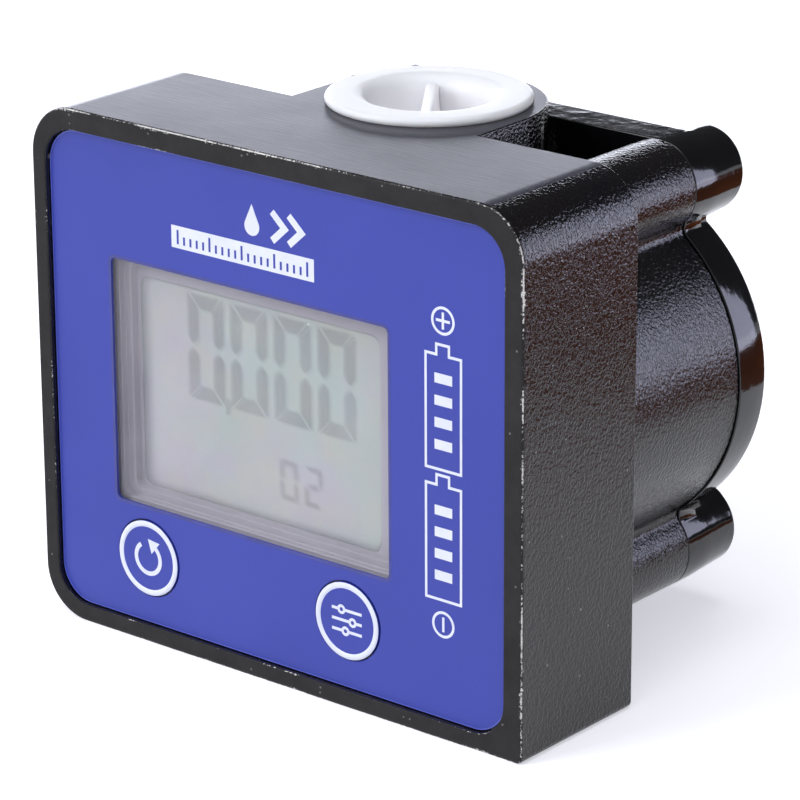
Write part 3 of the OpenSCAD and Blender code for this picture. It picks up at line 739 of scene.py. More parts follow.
class FLOWMETER_OT_threads(bpy.types.Operator):
    """Pipe threads in the two ports"""

    bl_idname = "flowmeter.threads"
    bl_label = "Port threads"

    pitch = 1.814 * MM
    depth = 0.225 * MM
    mouth = 0.6 * MM
    around = 96
    rows_per_turn = 10

    def execute(self, context):
        metal = finish_material(
            "Cut thread", (0.1, 0.1, 0.1), (0.3, 0.45, 300),
            grain=(900, 0.01, (1.0, 1.0, 0.1)), tint=((0.04, 0.04, 0.04), 200), metal=0.7,
        )
        for name, low, high in (
            ("inlet_thread", self.mouth, PORT_DEPTH),
            ("outlet_thread", TOP_Z - PORT_DEPTH, TOP_Z - self.mouth),
        ):
            mesh = bmesh.new()
            count = int((high - low) / self.pitch * self.rows_per_turn)
            rows = []
            for j in range(count + 1):
                z = low + (high - low) * j / count
                row = []
                for i in range(self.around):
                    turn = i / self.around
                    share = (z / self.pitch - turn) % 1.0
                    ridge = max(0.0, 1 - abs(share * 2 - 1) * 1.3)
                    r = PORT_R - 0.01 * MM - self.depth * ridge
                    angle = 2 * math.pi * turn
                    row.append(mesh.verts.new((r * math.cos(angle), r * math.sin(angle), z)))
                rows.append(row)
            bridge(mesh, rows[::-1])
            new_piece(name, mesh, [metal], "meter")
        return {"FINISHED"}


def film_outline(inset):
    """The label's outer outline in millimetres, drawn in by a little, as a closed path."""
    mesh = solid_mesh("face_label")

    def outer(p):
        sides = (p.x - LABEL_LOW.x, LABEL_HIGH.x - p.x, p.z - LABEL_LOW.z, LABEL_HIGH.z - p.z)
        return p.y < LABEL_LOW.y + NEAR and min(sides) < 2 * MM

    joined = {}
    for edge in sharp_edges(mesh, outer):
        a, b = (vert.index for vert in edge.verts)
        joined.setdefault(a, []).append(b)
        joined.setdefault(b, []).append(a)
    mesh.verts.ensure_lookup_table()
    path = [min(joined)]
    while len(path) < len(joined):
        path.append(next(i for i in joined[path[-1]] if i not in path))
    points = [Vector((mesh.verts[i].co.x, mesh.verts[i].co.z)) for i in path]
    mesh.free()
    twice_area = sum(a.cross(b) for a, b in zip(points, points[1:] + points[:1]))
    outline = []
    for i, here in enumerate(points):
        along = (points[(i + 1) % len(points)] - points[i - 1]).normalized()
        inward = Vector((-along.y, along.x)) * (1 if twice_area > 0 else -1)
        outline.append(tuple((here + inward * inset) / MM))
    return outline


def drop_outline(x, z, r):
    """Outline of a drop of fluid with its round end below."""
    return [*arc_points(x, z, r, 148, 392, 28), (x, z + 2.35 * r)]


def battery_outline(low, high, top):
    """Closed path of a standing battery, between its ends and its contact's top."""
    left, right, contact_left, contact_right = 25.2, 30.8, 26.9, 28.9
    return [
        (left, low), (right, low), (right, high), (contact_right, high), (contact_right, top),
        (contact_left, top), (contact_left, high), (left, high),
    ]


class FLOWMETER_OT_label(bpy.types.Operator):
    """Blue film, painted shade round its window, its cut edge with a painted highlight, and its
    white print
    """

    bl_idname = "flowmeter.label"
    bl_label = "Label"

    # Places and sizes of the print, of the cut edge's painted highlight and of the painted shade
    # round the window, in millimetres
    banner = (-17.0, 56.35, 7.2, 59.35)
    drop = (-3.1, 61.75, 1.25)
    chevrons_x = (0.3, 3.1)
    chevron = ((0, 60.5), (2.1, 62.4), (0, 64.3))
    chevron_width = 0.95
    first_tick, tick_pitch, tick_foot, tick_half = -15.9, 1.1, 56.9, 0.16
    short_tick, long_tick = 1.1, 1.9
    batteries = ((36.1, 51.1, 52.45), (18.7, 34.0, 35.35))
    bar_left, bar_right, bar_height = 26.6, 29.4, 1.3
    first_bar, bar_pitch = 2.6, 2.9
    sign_x, plus_z, minus_z = 27.95, 55.6, 15.4
    plus_r, plus_arm, minus_r, minus_arm = 1.85, 1.1, 1.8, 1.0
    # Inset, width and rise of the strip of the film's cut edge, a lighter blue that is partly
    # painted highlight
    cut_inset, cut_width, cut_rise = 0.1, 0.15, 0.02
    # Reach and width of the painted shade round the window
    window_line_reach, window_line_width = 0.2, 0.42

    def execute(self, context):
        look = context.scene.flow_meter.label
        film = finish_material(
            "Blue film", tuple(look.film), (0.34, 0.42, 50),
            grain=(1500, 0.003, (1.0, 1.0, 0.2)), tint=(tuple(c * 0.9 for c in look.film), 26),
            dust=(260, 0.05, 0.03, (0.3, 0.33, 0.75)), Specular_IOR_Level=0.4,
        )
        dress("face_label", film, 0.12)
        y = LABEL_LOW.y
        # Lighter blue strip round the label: the film's cut edge, and painted highlight where light
        # catches that edge
        cut = finish_material(
            "Cut edge of the film", tuple(look.film_edge), (0.3, 0.4, 200),
            tint=((0.09, 0.12, 0.55), 90), grain=(1500, 0.002),
        )
        rim = stroke(film_outline(self.cut_inset * MM), self.cut_width, True)
        print_plate("film_edge", rim, y, self.cut_rise * MM, cut)
        white = finish_material(
            "White ink", tuple(look.ink), (0.3, 0.4, 200), tint=((0.76, 0.79, 0.92), 300),
            grain=(2500, 0.002), Specular_IOR_Level=0.4,
        )
        # Painted shade round the window's edge, as a darker blue line that stands a little proud of
        # the film
        edge = finish_material(
            "Window edge", tuple(look.window_edge), (0.35, 0.45, 80),
            tint=((0.052, 0.06, 0.3), 300), grain=(1500, 0.002),
        )
        depth = look.ink_depth
        sides = [v / MM for v in WINDOW]
        centre = Vector((sides[0] + sides[2], sides[1] + sides[3])) / 2
        loop = [Vector(p) for p in rounded_path(sides, WINDOW_R / MM)]
        wide = [tuple(p + (p - centre).normalized() * self.window_line_reach) for p in loop]
        rim = stroke(wide, self.window_line_width, True)
        print_plate("window_edge", rim, y, depth / 2, edge)

        marks = bar_face(*self.banner) + [drop_outline(*self.drop)]
        for left in self.chevrons_x:
            marks += stroke([(left + x, z) for x, z in self.chevron], self.chevron_width)
        print_plate("banner_print", marks, y, depth, white)

        ticks = []
        for i in range(21):
            x = self.first_tick + i * self.tick_pitch
            top = self.tick_foot + (self.short_tick if i % 5 else self.long_tick)
            ticks += bar_face(x - self.tick_half, self.tick_foot, x + self.tick_half, top)
        print_plate("banner_scale", ticks, y - depth, depth, film)

        line = look.line / MM
        half = line / 2
        marks = []
        for low, high, top in self.batteries:
            marks += stroke(battery_outline(low, high, top), line, True)
            for i in range(4):
                z = low + self.first_bar + i * self.bar_pitch
                marks += bar_face(self.bar_left, z, self.bar_right, z + self.bar_height)
        print_plate("battery_outlines", marks, y, depth, white)
        x, z, arm = self.sign_x, self.plus_z, self.plus_arm
        marks = ring_band(x, z, self.plus_r - line, self.plus_r)
        marks += bar_face(x - arm, z - half, x + arm, z + half)
        marks += bar_face(x - half, z - arm, x + half, z - half)
        marks += bar_face(x - half, z + half, x + half, z + arm)
        print_plate("plus_sign", marks, y, depth, white)
        z, arm = self.minus_z, self.minus_arm
        marks = ring_band(x, z, self.minus_r - line, self.minus_r)
        marks += bar_face(x - half, z - arm, x + half, z + arm)
        print_plate("minus_sign", marks, y, depth, white)
        return {"FINISHED"}


def turning_arrow(x, z):
    """Open ring that ends in an arrow head."""
    r, start, end, width, head_half, head_length = 2.15, 50, -235, 0.62, 1.15, 1.75
    path = arc_points(x, z, r, start, end, 44)
    tip = Vector(path[0])
    along = Vector((-math.sin(math.radians(start)), math.cos(math.radians(start))))
    side = Vector((along.y, -along.x)) * head_half
    return stroke(path, width) + [[tip + side, tip + along * head_length, tip - side]]


def sliders(x, z):
    """Three level lines, each with a round knob."""
    reach, half, knob_in, knob_out = 2.5, 0.2, 0.28, 0.66
    end = knob_out - 0.04
    marks = []
    for level, knob in ((z + 1.45, x - 0.9), (z, x + 0.95), (z - 1.45, x - 0.25)):
        marks += bar_face(x - reach, level - half, knob - end, level + half)
        marks += bar_face(knob + end, level - half, x + reach, level + half)
        marks += ring_band(knob, level, knob_in, knob_out, 28)
    return marks


class FLOWMETER_OT_keys(bpy.types.Operator):
    """Two round keys with raised rings and signs"""

    bl_idname = "flowmeter.keys"
    bl_label = "Keys"

    # Section of a key's ring: place across it from -1 to 1, and share of its rise
    section = ((-1.0, 0.02), (-0.72, 0.62), (-0.3, 0.94), (0.2, 1.0), (0.65, 0.7), (1.0, 0.02))
    ring_width = 0.8 * MM
    ring_rise = 0.13 * MM

    def ring(self, x, y, z, r):
        """Mesh of a raised ring in the plane y."""
        mesh = bmesh.new()
        rows = []
        turns = 96
        for i in range(turns):
            angle = 2 * math.pi * i / turns
            row = []
            for across, lift in self.section:
                reach = r + (across - 1) * self.ring_width / 2
                place = (reach * math.cos(angle), -lift * self.ring_rise, reach * math.sin(angle))
                row.append(mesh.verts.new(Vector((x, y, z)) + Vector(place)))
            rows.append(row)
        bridge(mesh, rows + rows[:1])
        bmesh.ops.recalc_face_normals(mesh, faces=mesh.faces)
        return mesh

    def execute(self, context):
        film = bpy.data.materials["Blue film"]
        white = bpy.data.materials["White ink"]
        for body, sign in (("reset_key", turning_arrow), ("cal_key", sliders)):
            low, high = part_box(body)
            dress(body, film, 0.08)
            x, z = (low.x + high.x) / 2, (low.z + high.z) / 2
            ring = self.ring(x, low.y, z, (high.x - low.x) / 2)
            new_piece(body + "_ring", ring, [white], body)
            depth = context.scene.flow_meter.label.ink_depth
            print_plate(body + "_sign", sign(x / MM, z / MM), low.y, depth, white, body)
        plastic = finish_material(
            "White switch plastic", (0.78, 0.77, 0.73), (0.35, 0.5, 200),
            grain=(2000, 0.004), tint=((0.7, 0.68, 0.62), 300),
        )
        dress("reset_plunger", plastic, 0.1)
        dress("cal_plunger", plastic, 0.1)
        return {"FINISHED"}


def segment_outlines(x, z, width, height, t, gap, lit):
    """Outlines of a digit's chosen segments, t wide, from its lower left corner."""
    mid = height / 2
    half = t / 2
    upright = [
        (0, 0), (t, t), (t, mid - half - gap / 2), (half, mid - gap / 2), (0, mid - half - gap / 2),
    ]
    foot = [(gap, 0), (width - gap, 0), (width - t - gap / 2, t), (t + gap / 2, t)]
    waist = [
        (half + gap, mid), (t + gap, mid + half), (width - t - gap, mid + half),
        (width - half - gap, mid), (width - t - gap, mid - half), (t + gap, mid - half),
    ]
    # Each segment's letter, and whether its outline is mirrored across and upwards
    segments = {
        "a": (foot, False, True), "b": (upright, True, True), "c": (upright, True, False),
        "d": (foot, False, False), "e": (upright, False, False), "f": (upright, False, True),
        "g": (waist, False, False),
    }
    outlines = []
    for letter in lit:
        path, across, upwards = segments[letter]
        outlines.append([
            (x + (width - px if across else px), z + (height - pz if upwards else pz))
            for px, pz in path
        ])
    return outlines


def soft_shapes(name, outlines, y, blur, material, full):
    """Flat shapes whose ink attribute fades from full to nothing across a soft edge."""
    mesh = bmesh.new()
    ink = mesh.verts.layers.float.new("ink")
    for outline in outlines:
        centre = sum((Vector(p) for p in outline), Vector((0, 0))) / len(outline)
        area = sum(
            a[0] * b[1] - b[0] * a[1] for a, b in zip(outline, outline[1:] + outline[:1])
        )
        ring = outline if area > 0 else outline[::-1]
        inner, outer = [], []
        count = len(ring)
        for i, point in enumerate(ring):
            here = Vector(point)
            coming = (here - Vector(ring[i - 1])).normalized()
            going = (Vector(ring[(i + 1) % count]) - here).normalized()
            normal = Vector((coming.y, -coming.x)) + Vector((going.y, -going.x))
            normal = normal.normalized() if normal.length > 0.01 else (here - centre).normalized()
            for kept, reach, amount in ((inner, -blur * 0.5, full), (outer, blur, 0.0)):
                place = here + normal * reach
                vert = mesh.verts.new((place.x, y, place.y))
                vert[ink] = amount
                kept.append(vert)
        mesh.faces.new(inner)
        for i in range(count):
            j = (i + 1) % count
            mesh.faces.new([inner[i], outer[i], outer[j], inner[j]])
    for face in mesh.faces:
        if face.normal.y > 0:
            face.normal_flip()
    new_piece(name, mesh, [material], "meter")


def rounded_loop(mesh, sides, r, y):
    """Vertices of a rectangle with rounded corners, from its left, lower, right and upper side."""
    return [mesh.verts.new((x, y, z)) for x, z in rounded_path(sides, r)]


class FLOWMETER_OT_display(bpy.types.Operator):
    """Clear pane, stepped frame, display cell and its faint digits"""

    bl_idname = "flowmeter.display"
    bl_label = "Display"

    # Inset from the window and height over the display of the insert's steps, in millimetres
    steps = (
        (-0.85, -2.07), (-0.02, -2.07), (0.08, -1.99), (0.13, -1.2), (0.21, -1.14),
        (1.08, -1.14), (1.2, -1.1), (1.25, -0.98), (1.28, -0.16), (1.33, -0.08),
    )
    insert_t = 0.03 * MM
    # The display's own opening: how far it lies inside the window on each side
    view_inset = (1.95 * MM, 1.5 * MM, 4.15 * MM, 3 * MM)
    view_r = 1.4 * MM
    view_y = LCD_Y - 0.08 * MM
    # How far the shade of the insert reaches over the display on each side, and how it fades
    shade_reach = (1.9 * MM, 1.3 * MM, 0.1 * MM, 0.35 * MM)
    shade_fade = ((0.0, 2.6), (0.3, 1.5), (0.65, 0.5), (1.0, 0.0))
    insert_shade_y = LCD_Y - 0.045 * MM
    # Large digits: lower left corner of the first, step to the next, stroke and gap
    first_digit = (-17.9 * MM, 34.8 * MM)
    digit_pitch = 7.45 * MM
    digit_stroke = 1.9 * MM
    digit_gap = 0.55 * MM
    # Corners of the comma, in millimetres
    comma = ((-11.25, 35.9), (-10.6, 35.9), (-10.9, 33.7), (-11.5, 33.7))
    # Small digits: foot, width, height, stroke and gap, and each one's left side and segments
    small_digit = (24.2 * MM, 3.1 * MM, 5.6 * MM, 0.75 * MM, 0.25 * MM)
    small_digits = ((-2.3 * MM, "abcdef"), (1.9 * MM, "abged"))
    # The digits' ink lies over the display, and their shade under the ink, shifted by this much
    ink_y = LCD_Y - 0.03 * MM
    shade_y = LCD_Y - 0.015 * MM
    shade_shift = (0.4 * MM, -0.3 * MM)

    def glass(self, look):
        """Grey display with faint patches of green, mauve and yellow."""
        colour = tuple(look.glass)
        glass = finish_material("Display glass", colour, (0.16, 0.24, 40))
        tree = glass.node_tree
        for tint, scale, low, high in (
            ((0.36, 0.47, 0.45), 95, 0.0, 0.75), ((0.46, 0.4, 0.475), 61, -0.35, 0.8),
            ((0.475, 0.46, 0.36), 137, -0.4, 0.5),
        ):
            cloud = use_group(tree, "mottle", Scale=scale, Low=low, High=high)
            colour = blend_colour(tree, colour, tint, cloud)
        feed(tree, colour, tree.nodes["Principled BSDF"].inputs["Base Color"])
        return glass

    def faint(self, look):
        """Thin ink of the unlit segments and of the shade, as strong as the ink attribute."""
        material, tree, shader = new_material("Unlit segments")
        shader["Roughness"].default_value = 0.5
        cloud = use_group(tree, "mottle", Scale=120, Low=0.0, High=1.0)
        tint = blend_colour(tree, tuple(look.segment), (0.16, 0.2, 0.2), cloud)
        feed(tree, tint, shader["Base Color"])
        ink = add_node(tree, "ShaderNodeAttribute", attribute_name="ink")
        strength = use_group(tree, "mottle", Scale=90, Low=0.12, High=0.2)
        feed(tree, maths(tree, "MULTIPLY", ink.outputs["Fac"], strength), shader["Alpha"])
        return material

    def pane(self):
        """Clear window with a slight smear and fine dust."""
        material, tree, shader = new_material("Clear pane")
        shader["Roughness"].default_value = 0.06
        shader["Specular IOR Level"].default_value = 1.0
        specks = use_group(tree, "dust", Scale=420, Size=0.05, Cover=0.07)
        smear = use_group(tree, "mottle", Scale=70, Low=0.05, High=0.11)
        veil = blend_colour(tree, (0.8, 0.79, 0.84), (0.95, 0.95, 0.95), specks)
        feed(tree, veil, shader["Base Color"])
        feed(tree, maths(tree, "MINIMUM", maths(tree, "ADD", specks, smear), 1.0), shader["Alpha"])
        return material

    def view(self):
        """Sides of the display's own opening."""
        x0, z0, x1, z1 = WINDOW
        left, low, right, high = self.view_inset
        return x0 + left, z0 + low, x1 - right, z1 - high

    def bezel(self, grey):
        """Stepped insert between the pane and the display."""
        x0, z0, x1, z1 = WINDOW
        mesh = bmesh.new()
        skin = []
        for depth in (0.0, self.insert_t):
            loops = []
            for inset, rise in self.steps:
                d = inset * MM
                sides = (x0 + d, z0 + d, x1 - d, z1 - d)
                loops.append(rounded_loop(mesh, sides, WINDOW_R, LCD_Y + rise * MM + depth))
            loops.append(rounded_loop(mesh, self.view(), self.view_r, self.view_y + depth))
            skin.append(loops)
        bridge(mesh, skin[0])
        bridge(mesh, skin[1])
        bridge(mesh, [skin[0][0], skin[1][0]])
        bridge(mesh, [skin[0][-1], skin[1][-1]])
        bmesh.ops.recalc_face_normals(mesh, faces=mesh.faces)
        new_piece("display_bezel", mesh, [grey], "meter")

    def shade(self, faint):
        """Soft shade that the insert throws on the display."""
        mesh = bmesh.new()
        ink = mesh.verts.layers.float.new("ink")
        rows = []
        for share, amount in self.shade_fade:
            moves = [reach * share for reach in self.shade_reach]
            signs = (1, 1, -1, -1)
            sides = [side + move * sign for side, move, sign in zip(self.view(), moves, signs)]
            row = rounded_loop(mesh, sides, self.view_r, self.insert_shade_y)
            for vert in row:
                vert[ink] = amount
            rows.append(row)
        bridge(mesh, rows)
        for face in mesh.faces:
            face.normal_update()
            if face.normal.y > 0:
                face.normal_flip()
        new_piece("bezel_shade", mesh, [faint], "meter")

    def digits(self, look, faint):
        """Faint unlit digits, and the shade that they throw behind them."""
        large, small = [], []
        for i in range(4):
            large += segment_outlines(
                self.first_digit[0] + i * self.digit_pitch, self.first_digit[1],
                look.digit_width, look.digit_height, self.digit_stroke, self.digit_gap, "abcdef",
            )
        large.append([(x * MM, z * MM) for x, z in self.comma])
        for left, lit in self.small_digits:
            small += segment_outlines(left, *self.small_digit, lit)
        aside, down = self.shade_shift
        shade = [[(x + aside, z + down) for x, z in shape] for shape in large + small]
        soft_shapes("large_digits", large, self.ink_y, 0.13 * MM, faint, 0.75)
        soft_shapes("small_digits", small, self.ink_y, 0.08 * MM, faint, 0.6)
        soft_shapes("digit_shade", shade, self.shade_y, 0.13 * MM, faint, 0.45)

    def execute(self, context):
        look = context.scene.flow_meter.display
        grey = finish_material(
            "Grey frame", tuple(look.frame_grey), (0.3, 0.4, 120),
            grain=(1800, 0.004), tint=((0.34, 0.32, 0.36), 60),
        )
        dress("display_panel", grey, 0.16)
        dress("lcd_cell", self.glass(look))
        faint = self.faint(look)
        self.digits(look, faint)
        self.bezel(grey)
        self.shade(faint)
        dress("window_pane", self.pane())
        return {"FINISHED"}


class FLOWMETER_OT_port_cap(bpy.types.Operator):
    """White dished cap with its cross rib"""

    bl_idname = "flowmeter.port_cap"
    bl_label = "Port cap"

    plug_r = 9 * MM
    recess_r = 7.7 * MM
    mouth = 2.6 * MM
    floor = 1.3 * MM
    rib_turn = math.radians(126)

    def profile(self):
        """Half section of the dish, as (radius, height) points from its underside to its floor."""
        top, low = CAP_HIGH.z, CAP_LOW.z
        rim_r = CAP_HIGH.x
        foot_r, under_r, crown_r, well_r = 0.5 * MM, 0.45 * MM, 0.75 * MM, 1.2 * MM
        wall_r = self.recess_r - 0.25 * MM
        well_z = low + self.floor + well_r
        return [
            (0, low), (self.plug_r - foot_r, low),
            *arc_points(self.plug_r - foot_r, low + foot_r, foot_r, -90, 0),
            (self.plug_r, TOP_Z), (rim_r - under_r, TOP_Z),
            *arc_points(rim_r - under_r, TOP_Z + under_r, under_r, -90, 0, 4),
            *arc_points(rim_r - crown_r, top - crown_r, crown_r, 0, 90, 8),
            *arc_points(self.recess_r + self.mouth, top - self.mouth, self.mouth, 90, 180, 12),
            (wall_r, well_z), *arc_points(wall_r - well_r, well_z, well_r, 0, -90, 8),
            (0, low + self.floor),
        ]

    def rib(self):
        """New mesh with the rib that runs across the dish. Its crest is rounded."""
        foot_z, crest_z = CAP_LOW.z + self.floor - 0.2 * MM, CAP_HIGH.z - 0.9 * MM
        foot_width, crest_width, length = 2.3 * MM, 1.7 * MM, 2 * self.recess_r + 0.3 * MM
        mesh = bmesh.new()
        for vert in bmesh.ops.create_cube(mesh, size=1.0)["verts"]:
            width, z = (crest_width, crest_z) if vert.co.z > 0 else (foot_width, foot_z)
            vert.co = Vector((vert.co.x * length, vert.co.y * width, z))
        crest = [edge for edge in mesh.edges if middle(edge).z > crest_z - WELD]
        bmesh.ops.bevel(
            mesh, geom=crest, offset=0.55 * MM, offset_type="OFFSET", segments=4, profile=0.5,
            affect="EDGES",
        )
        bmesh.ops.transform(mesh, matrix=Matrix.Rotation(self.rib_turn, 4, "Z"), verts=mesh.verts)
        return mesh

    def execute(self, context):
        white = finish_material(
            "White cap plastic", (0.965, 0.945, 0.97), (0.34, 0.44, 90),
            grain=(500, 0.005), tint=((0.945, 0.92, 0.945), 60),
            dust=(230, 0.07, 0.05, (0.45, 0.43, 0.42)),
            Subsurface_Weight=0.85, Subsurface_Radius=(1.0, 0.9, 0.85), Subsurface_Scale=2.0 * MM,
            Specular_IOR_Level=0.4,
        )
        mesh = self.rib()
        lathe(mesh, self.profile())
        bmesh.ops.recalc_face_normals(mesh, faces=mesh.faces)
        new_piece("white_cap", mesh, [white], "port_cap", ["port_cap"])
        return {"FINISHED"}


class FLOWMETER_OT_fasteners(bpy.types.Operator):
    """Screws and shafts"""

    bl_idname = "flowmeter.fasteners"
    bl_label = "Fasteners"

    def execute(self, context):
        zinc = finish_material(
            "Zinc plated steel", (0.58, 0.58, 0.55), (0.24, 0.38, 400),
            grain=(1400, 0.004), tint=((0.5, 0.49, 0.44), 220), metal=1.0,
        )
        for node, edge in (
            ("cover_screws", 0.25), ("panel_screws", 0.1), ("board_screws", 0.1),
            ("gear_shafts", 0.2),
        ):
            dress(node, zinc, edge)
        return {"FINISHED"}


class FLOWMETER_OT_measuring(bpy.types.Operator):
    """Oval gears, magnets and rubber seals"""

    bl_idname = "flowmeter.measuring"
    bl_label = "Measuring chamber"

    def execute(self, context):
        plastic = finish_material(
            "Gear plastic", (0.05, 0.058, 0.066), (0.4, 0.55, 150),
            grain=(1600, 0.006), tint=((0.075, 0.08, 0.085), 120),
        )
        magnet = finish_material(
            "Nickel plating", (0.62, 0.61, 0.58), (0.1, 0.2, 300),
            grain=(900, 0.002), tint=((0.55, 0.53, 0.5), 300), metal=1.0,
        )
        rubber = finish_material(
            "Black rubber", (0.022, 0.022, 0.022), (0.6, 0.75, 200),
            grain=(2600, 0.01), tint=((0.035, 0.034, 0.033), 250),
        )
        dress("left_oval_gear", plastic, 0.15)
        dress("right_oval_gear", plastic, 0.15)
        dress("gear_magnets", magnet, 0.15)
        dress("chamber_seal", rubber, 0.25)
        dress("panel_gasket", rubber, 0.1)
        dress("battery_cap_seal", rubber, 0.2)
        return {"FINISHED"}


class FLOWMETER_OT_electronics(bpy.types.Operator):
    """Circuit board and what it carries"""

    bl_idname = "flowmeter.electronics"
    bl_label = "Electronics"

    def execute(self, context):
        board = finish_material(
            "Green board", (0.012, 0.11, 0.045), (0.22, 0.35, 150),
            grain=(700, 0.02, (1.0, 1.0, 0.08)), tint=((0.02, 0.17, 0.07), 420),
            Coat_Weight=0.4,
        )
        black = finish_material(
            "Black moulding", (0.018, 0.018, 0.02), (0.45, 0.6, 300),
            grain=(2600, 0.006), tint=((0.03, 0.03, 0.03), 200),
        )
        tan = finish_material(
            "Tan ceramic", (0.42, 0.28, 0.13), (0.35, 0.5, 300),
            grain=(2600, 0.004), tint=((0.5, 0.35, 0.18), 400),
        )
        strips = finish_material(
            "Contact rubber", (0.48, 0.22, 0.25), (0.55, 0.7, 200),
            grain=(3800, 0.02, (1.0, 0.05, 0.05)), tint=((0.3, 0.12, 0.15), 500),
        )
        can = finish_material(
            "Crystal can", (0.68, 0.68, 0.66), (0.15, 0.28, 200),
            grain=(900, 0.004, (0.1, 1.0, 1.0)), tint=((0.6, 0.59, 0.56), 300), metal=1.0,
        )
        glass = finish_material(
            "Reed glass", (0.42, 0.6, 0.5), (0.05, 0.1, 200),
            grain=(600, 0.004), tint=((0.5, 0.66, 0.58), 200),
            Coat_Weight=1.0,
        )
        for node, material, edge in (
            ("circuit_board", board, 0.1), ("controller_chip", black, 0.15),
            ("key_switches", black, 0.2), ("board_capacitors", tan, 0.12),
            ("contact_strips", strips, 0.1), ("quartz_crystal", can, 0.6),
            ("reed_switches", glass, 0.0),
        ):
            dress(node, material, edge)
        return {"FINISHED"}


class FLOWMETER_OT_batteries(bpy.types.Operator):
    """Two cells, their contacts and the battery cap"""

    bl_idname = "flowmeter.batteries"
    bl_label = "Batteries"

    def execute(self, context):
        sleeve = finish_material(
            "Cell sleeve", (0.55, 0.3, 0.05), (0.2, 0.3, 200),
            grain=(600, 0.004), tint=((0.48, 0.25, 0.04), 150), metal=0.4,
            Coat_Weight=0.6,
        )
        brass = finish_material(
            "Brass", (0.66, 0.47, 0.19), (0.22, 0.35, 300),
            grain=(900, 0.004, (0.1, 1.0, 1.0)), tint=((0.55, 0.38, 0.15), 260), metal=1.0,
        )
        black = finish_material(
            "Black cap plastic", (0.02, 0.02, 0.021), (0.32, 0.45, 200),
            grain=(1500, 0.01), tint=((0.032, 0.032, 0.033), 180),
        )
        paper = finish_material(
            "Insulating board", (0.74, 0.71, 0.62), (0.6, 0.75, 200),
            grain=(2400, 0.006), tint=((0.68, 0.64, 0.54), 300),
        )
        dress("upper_cell", sleeve, 0.4)
        dress("lower_cell", sleeve, 0.4)
        dress("battery_contact", brass, 0.1)
        dress("contact_insulator", paper, 0.15)
        dress("battery_cap", black, 0.3)
        dress("battery_spring", bpy.data.materials["Zinc plated steel"])
        return {"FINISHED"}


def area_lamp(name, place, aim, size, power, colour, turn=0.0, diffuse=True):
    """A rectangular soft lamp that faces a point, turned about its own axis."""
    data = bpy.data.lights.new(name, "AREA")
    data.shape = "RECTANGLE"
    data.size, data.size_y = size
    data.energy = power
    data.color = colour
    obj = bpy.data.objects.new(name, data)
    obj.location = place
    obj.rotation_mode = "QUATERNION"
    facing = (Vector(aim) - Vector(place)).to_track_quat("-Z", "Y")
    obj.rotation_quaternion = facing @ Quaternion((0, 0, 1), turn)
    obj.visible_camera = False
    obj.visible_diffuse = diffuse
    bpy.context.scene.collection.objects.link(obj)


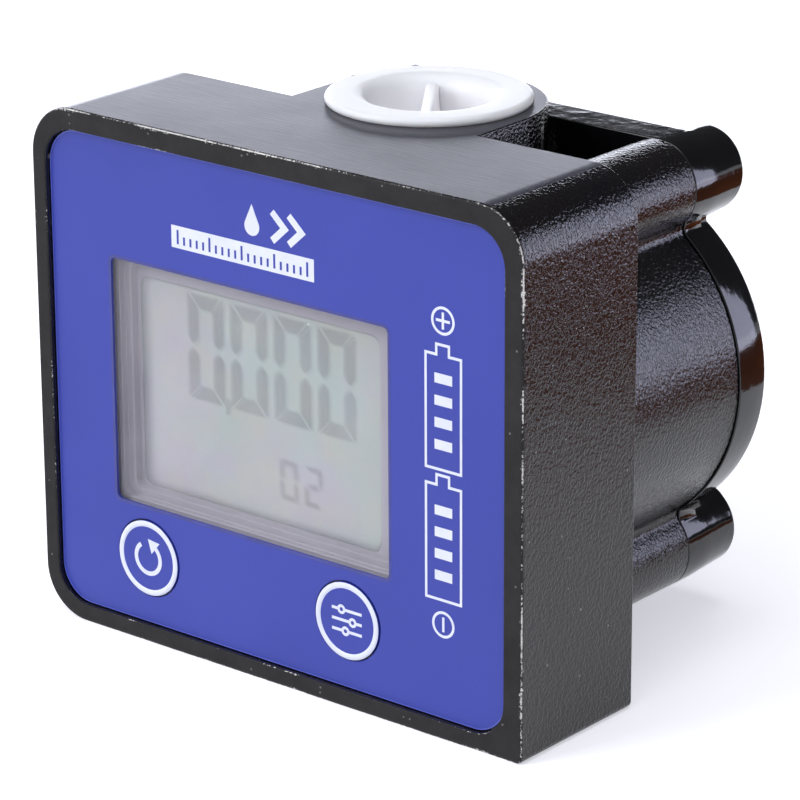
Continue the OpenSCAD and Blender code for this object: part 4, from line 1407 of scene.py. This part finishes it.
class FLOWMETER_OT_stage(bpy.types.Operator):
    """Camera, lamps, sky and floor"""

    bl_idname = "flowmeter.stage"
    bl_label = "Stage"

    def sheet(self, name, corners, depth, material):
        """A flat four-sided piece of the stage, a little below the meter's foot."""
        data = bpy.data.meshes.new(name)
        data.from_pydata([(x, y, 0) for x, y in corners], [], [(0, 1, 2, 3)])
        data.materials.append(material)
        obj = bpy.data.objects.new(name, data)
        obj.location.z = CAD_BOX[0].z - depth
        bpy.context.scene.collection.objects.link(obj)
        return obj

    def floor(self, look):
        """Pale floor that is whiter for the camera and for gloss than its light makes it."""
        pale = finish_material(
            "Pale floor", tuple(look.floor), (0.6, 0.7, 3),
            tint=(tuple(c * 0.985 for c in look.floor), 2), Specular_IOR_Level=0.0,
            Emission_Strength=1.0,
        )
        tree = pale.node_tree
        path = add_node(tree, "ShaderNodeLightPath").outputs
        seen = path["Is Camera Ray"]
        for kind in ("Is Glossy Ray", "Is Transmission Ray"):
            seen = maths(tree, "MAXIMUM", seen, path[kind])
        glow = blend_colour(tree, (0.0, 0.0, 0.0), tuple(look.floor_lift), seen)
        feed(tree, glow, tree.nodes["Principled BSDF"].inputs["Emission Color"])
        half = 6.0
        corners = ((-half, -half), (half, -half), (half, half), (-half, half))
        self.sheet("floor", corners, 0.02 * MM, pale)

    def brown_mat(self, look):
        """Mat that lies beside the view. Only glossy surfaces show it."""
        across, along = Vector((0.77, -0.64)), Vector((0.64, 0.77))
        corners = [
            across * aside + along * out
            for aside, out in ((-0.12, 0.132), (0.35, 0.132), (0.35, 0.7), (-0.12, 0.7))
        ]
        brown = finish_material(
            "Brown mat", tuple(look.mat), (0.6, 0.8, 30), grain=(700, 0.2),
            tint=((0.34, 0.095, 0.025), 40), Specular_IOR_Level=0.2,
        )
        mat = self.sheet("mat", corners, 0.01 * MM, brown)
        for kind in ("camera", "diffuse", "shadow", "transmission"):
            setattr(mat, "visible_" + kind, False)

    def camera(self, scene, look):
        """Camera that looks at its aim from the chosen direction."""
        data = bpy.data.cameras.new("Camera")
        data.lens = look.lens
        data.sensor_width = 36
        camera = bpy.data.objects.new("Camera", data)
        camera.matrix_world = (
            Matrix.Translation(look.aim) @ Matrix.Rotation(look.azimuth, 4, "Z")
            @ Matrix.Rotation(math.pi / 2 - look.elevation, 4, "X")
            @ Matrix.Rotation(look.roll, 4, "Z") @ Matrix.Translation((0, 0, look.distance))
        )
        scene.collection.objects.link(camera)
        scene.camera = camera

    def world(self, scene):
        """Soft sky, bright in front of the meter and dark behind it."""
        world = bpy.data.worlds.new("Studio")
        world.use_nodes = True
        tree = world.node_tree
        place = add_node(tree, "ShaderNodeTexCoord").outputs["Generated"]
        split = add_node(tree, "ShaderNodeSeparateXYZ", Vector=place)
        behind = share_of(tree, split.outputs[1], -0.3, 0.4)
        colour = blend_colour(tree, (0.6, 0.61, 0.65), (0.08, 0.08, 0.09), behind)
        sky = tree.nodes["Background"].inputs
        feed(tree, colour, sky["Color"])
        sky["Strength"].default_value = 1.0
        scene.world = world

    def execute(self, context):
        look = context.scene.flow_meter.stage
        self.camera(context.scene, look)
        self.floor(look)
        self.world(context.scene)
        centre = (0, 0, 0.036)
        cool = (0.94, 0.95, 1.0)
        area_lamp("Key", (-0.75, -1.25, 1.05), centre, (0.9, 0.9), 17, cool)
        area_lamp("Top", (0.1, -0.1, 1.5), centre, (0.7, 0.7), 6.7, cool)
        area_lamp("Back panel", (-0.68, 0.64, 0.125), centre, (0.8, 0.355), 4.3, (0.86, 0.89, 1.0))
        area_lamp(
            "Side card", (0.155, 0.1243, 0.081), (0.0383, 0.0076, 0.081), (0.085, 0.114), 0.135,
            (0.74, 0.76, 1.0), math.radians(9.7), False,
        )
        self.brown_mat(look)
        context.scene.view_settings.view_transform = "Standard"
        return {"FINISHED"}


class FLOWMETER_PT_panel(bpy.types.Panel):
    """Lists the pieces of the flow meter"""

    bl_idname = "FLOWMETER_PT_panel"
    bl_label = "Flow meter"
    bl_space_type = "VIEW_3D"
    bl_region_type = "UI"
    bl_category = "Flow meter"

    def draw(self, context):
        settings = context.scene.flow_meter
        for operator in OPERATORS:
            self.layout.operator(operator.bl_idname)
        for group in (settings.paint, settings.label, settings.display, settings.stage):
            box = self.layout.box()
            for name in group.bl_rna.properties.keys():
                if name not in ("rna_type", "name"):
                    box.prop(group, name)


OPERATORS = (
    FLOWMETER_OT_casting,
    FLOWMETER_OT_cover,
    FLOWMETER_OT_threads,
    FLOWMETER_OT_label,
    FLOWMETER_OT_keys,
    FLOWMETER_OT_display,
    FLOWMETER_OT_port_cap,
    FLOWMETER_OT_fasteners,
    FLOWMETER_OT_measuring,
    FLOWMETER_OT_electronics,
    FLOWMETER_OT_batteries,
    FLOWMETER_OT_stage,
)
CLASSES = (
    PaintSettings, LabelSettings, DisplaySettings, StageSettings, MeterSettings,
    *OPERATORS, FLOWMETER_PT_panel,
)


def register():
    for cls in CLASSES:
        bpy.utils.register_class(cls)
    bpy.types.Scene.flow_meter = PointerProperty(type=MeterSettings)


def unregister():
    del bpy.types.Scene.flow_meter
    for cls in reversed(CLASSES):
        bpy.utils.unregister_class(cls)


def main():
    register()
    for operator in OPERATORS:
        family, name = operator.bl_idname.split(".")
        getattr(getattr(bpy.ops, family), name)()


if __name__ == "__main__":
    main()
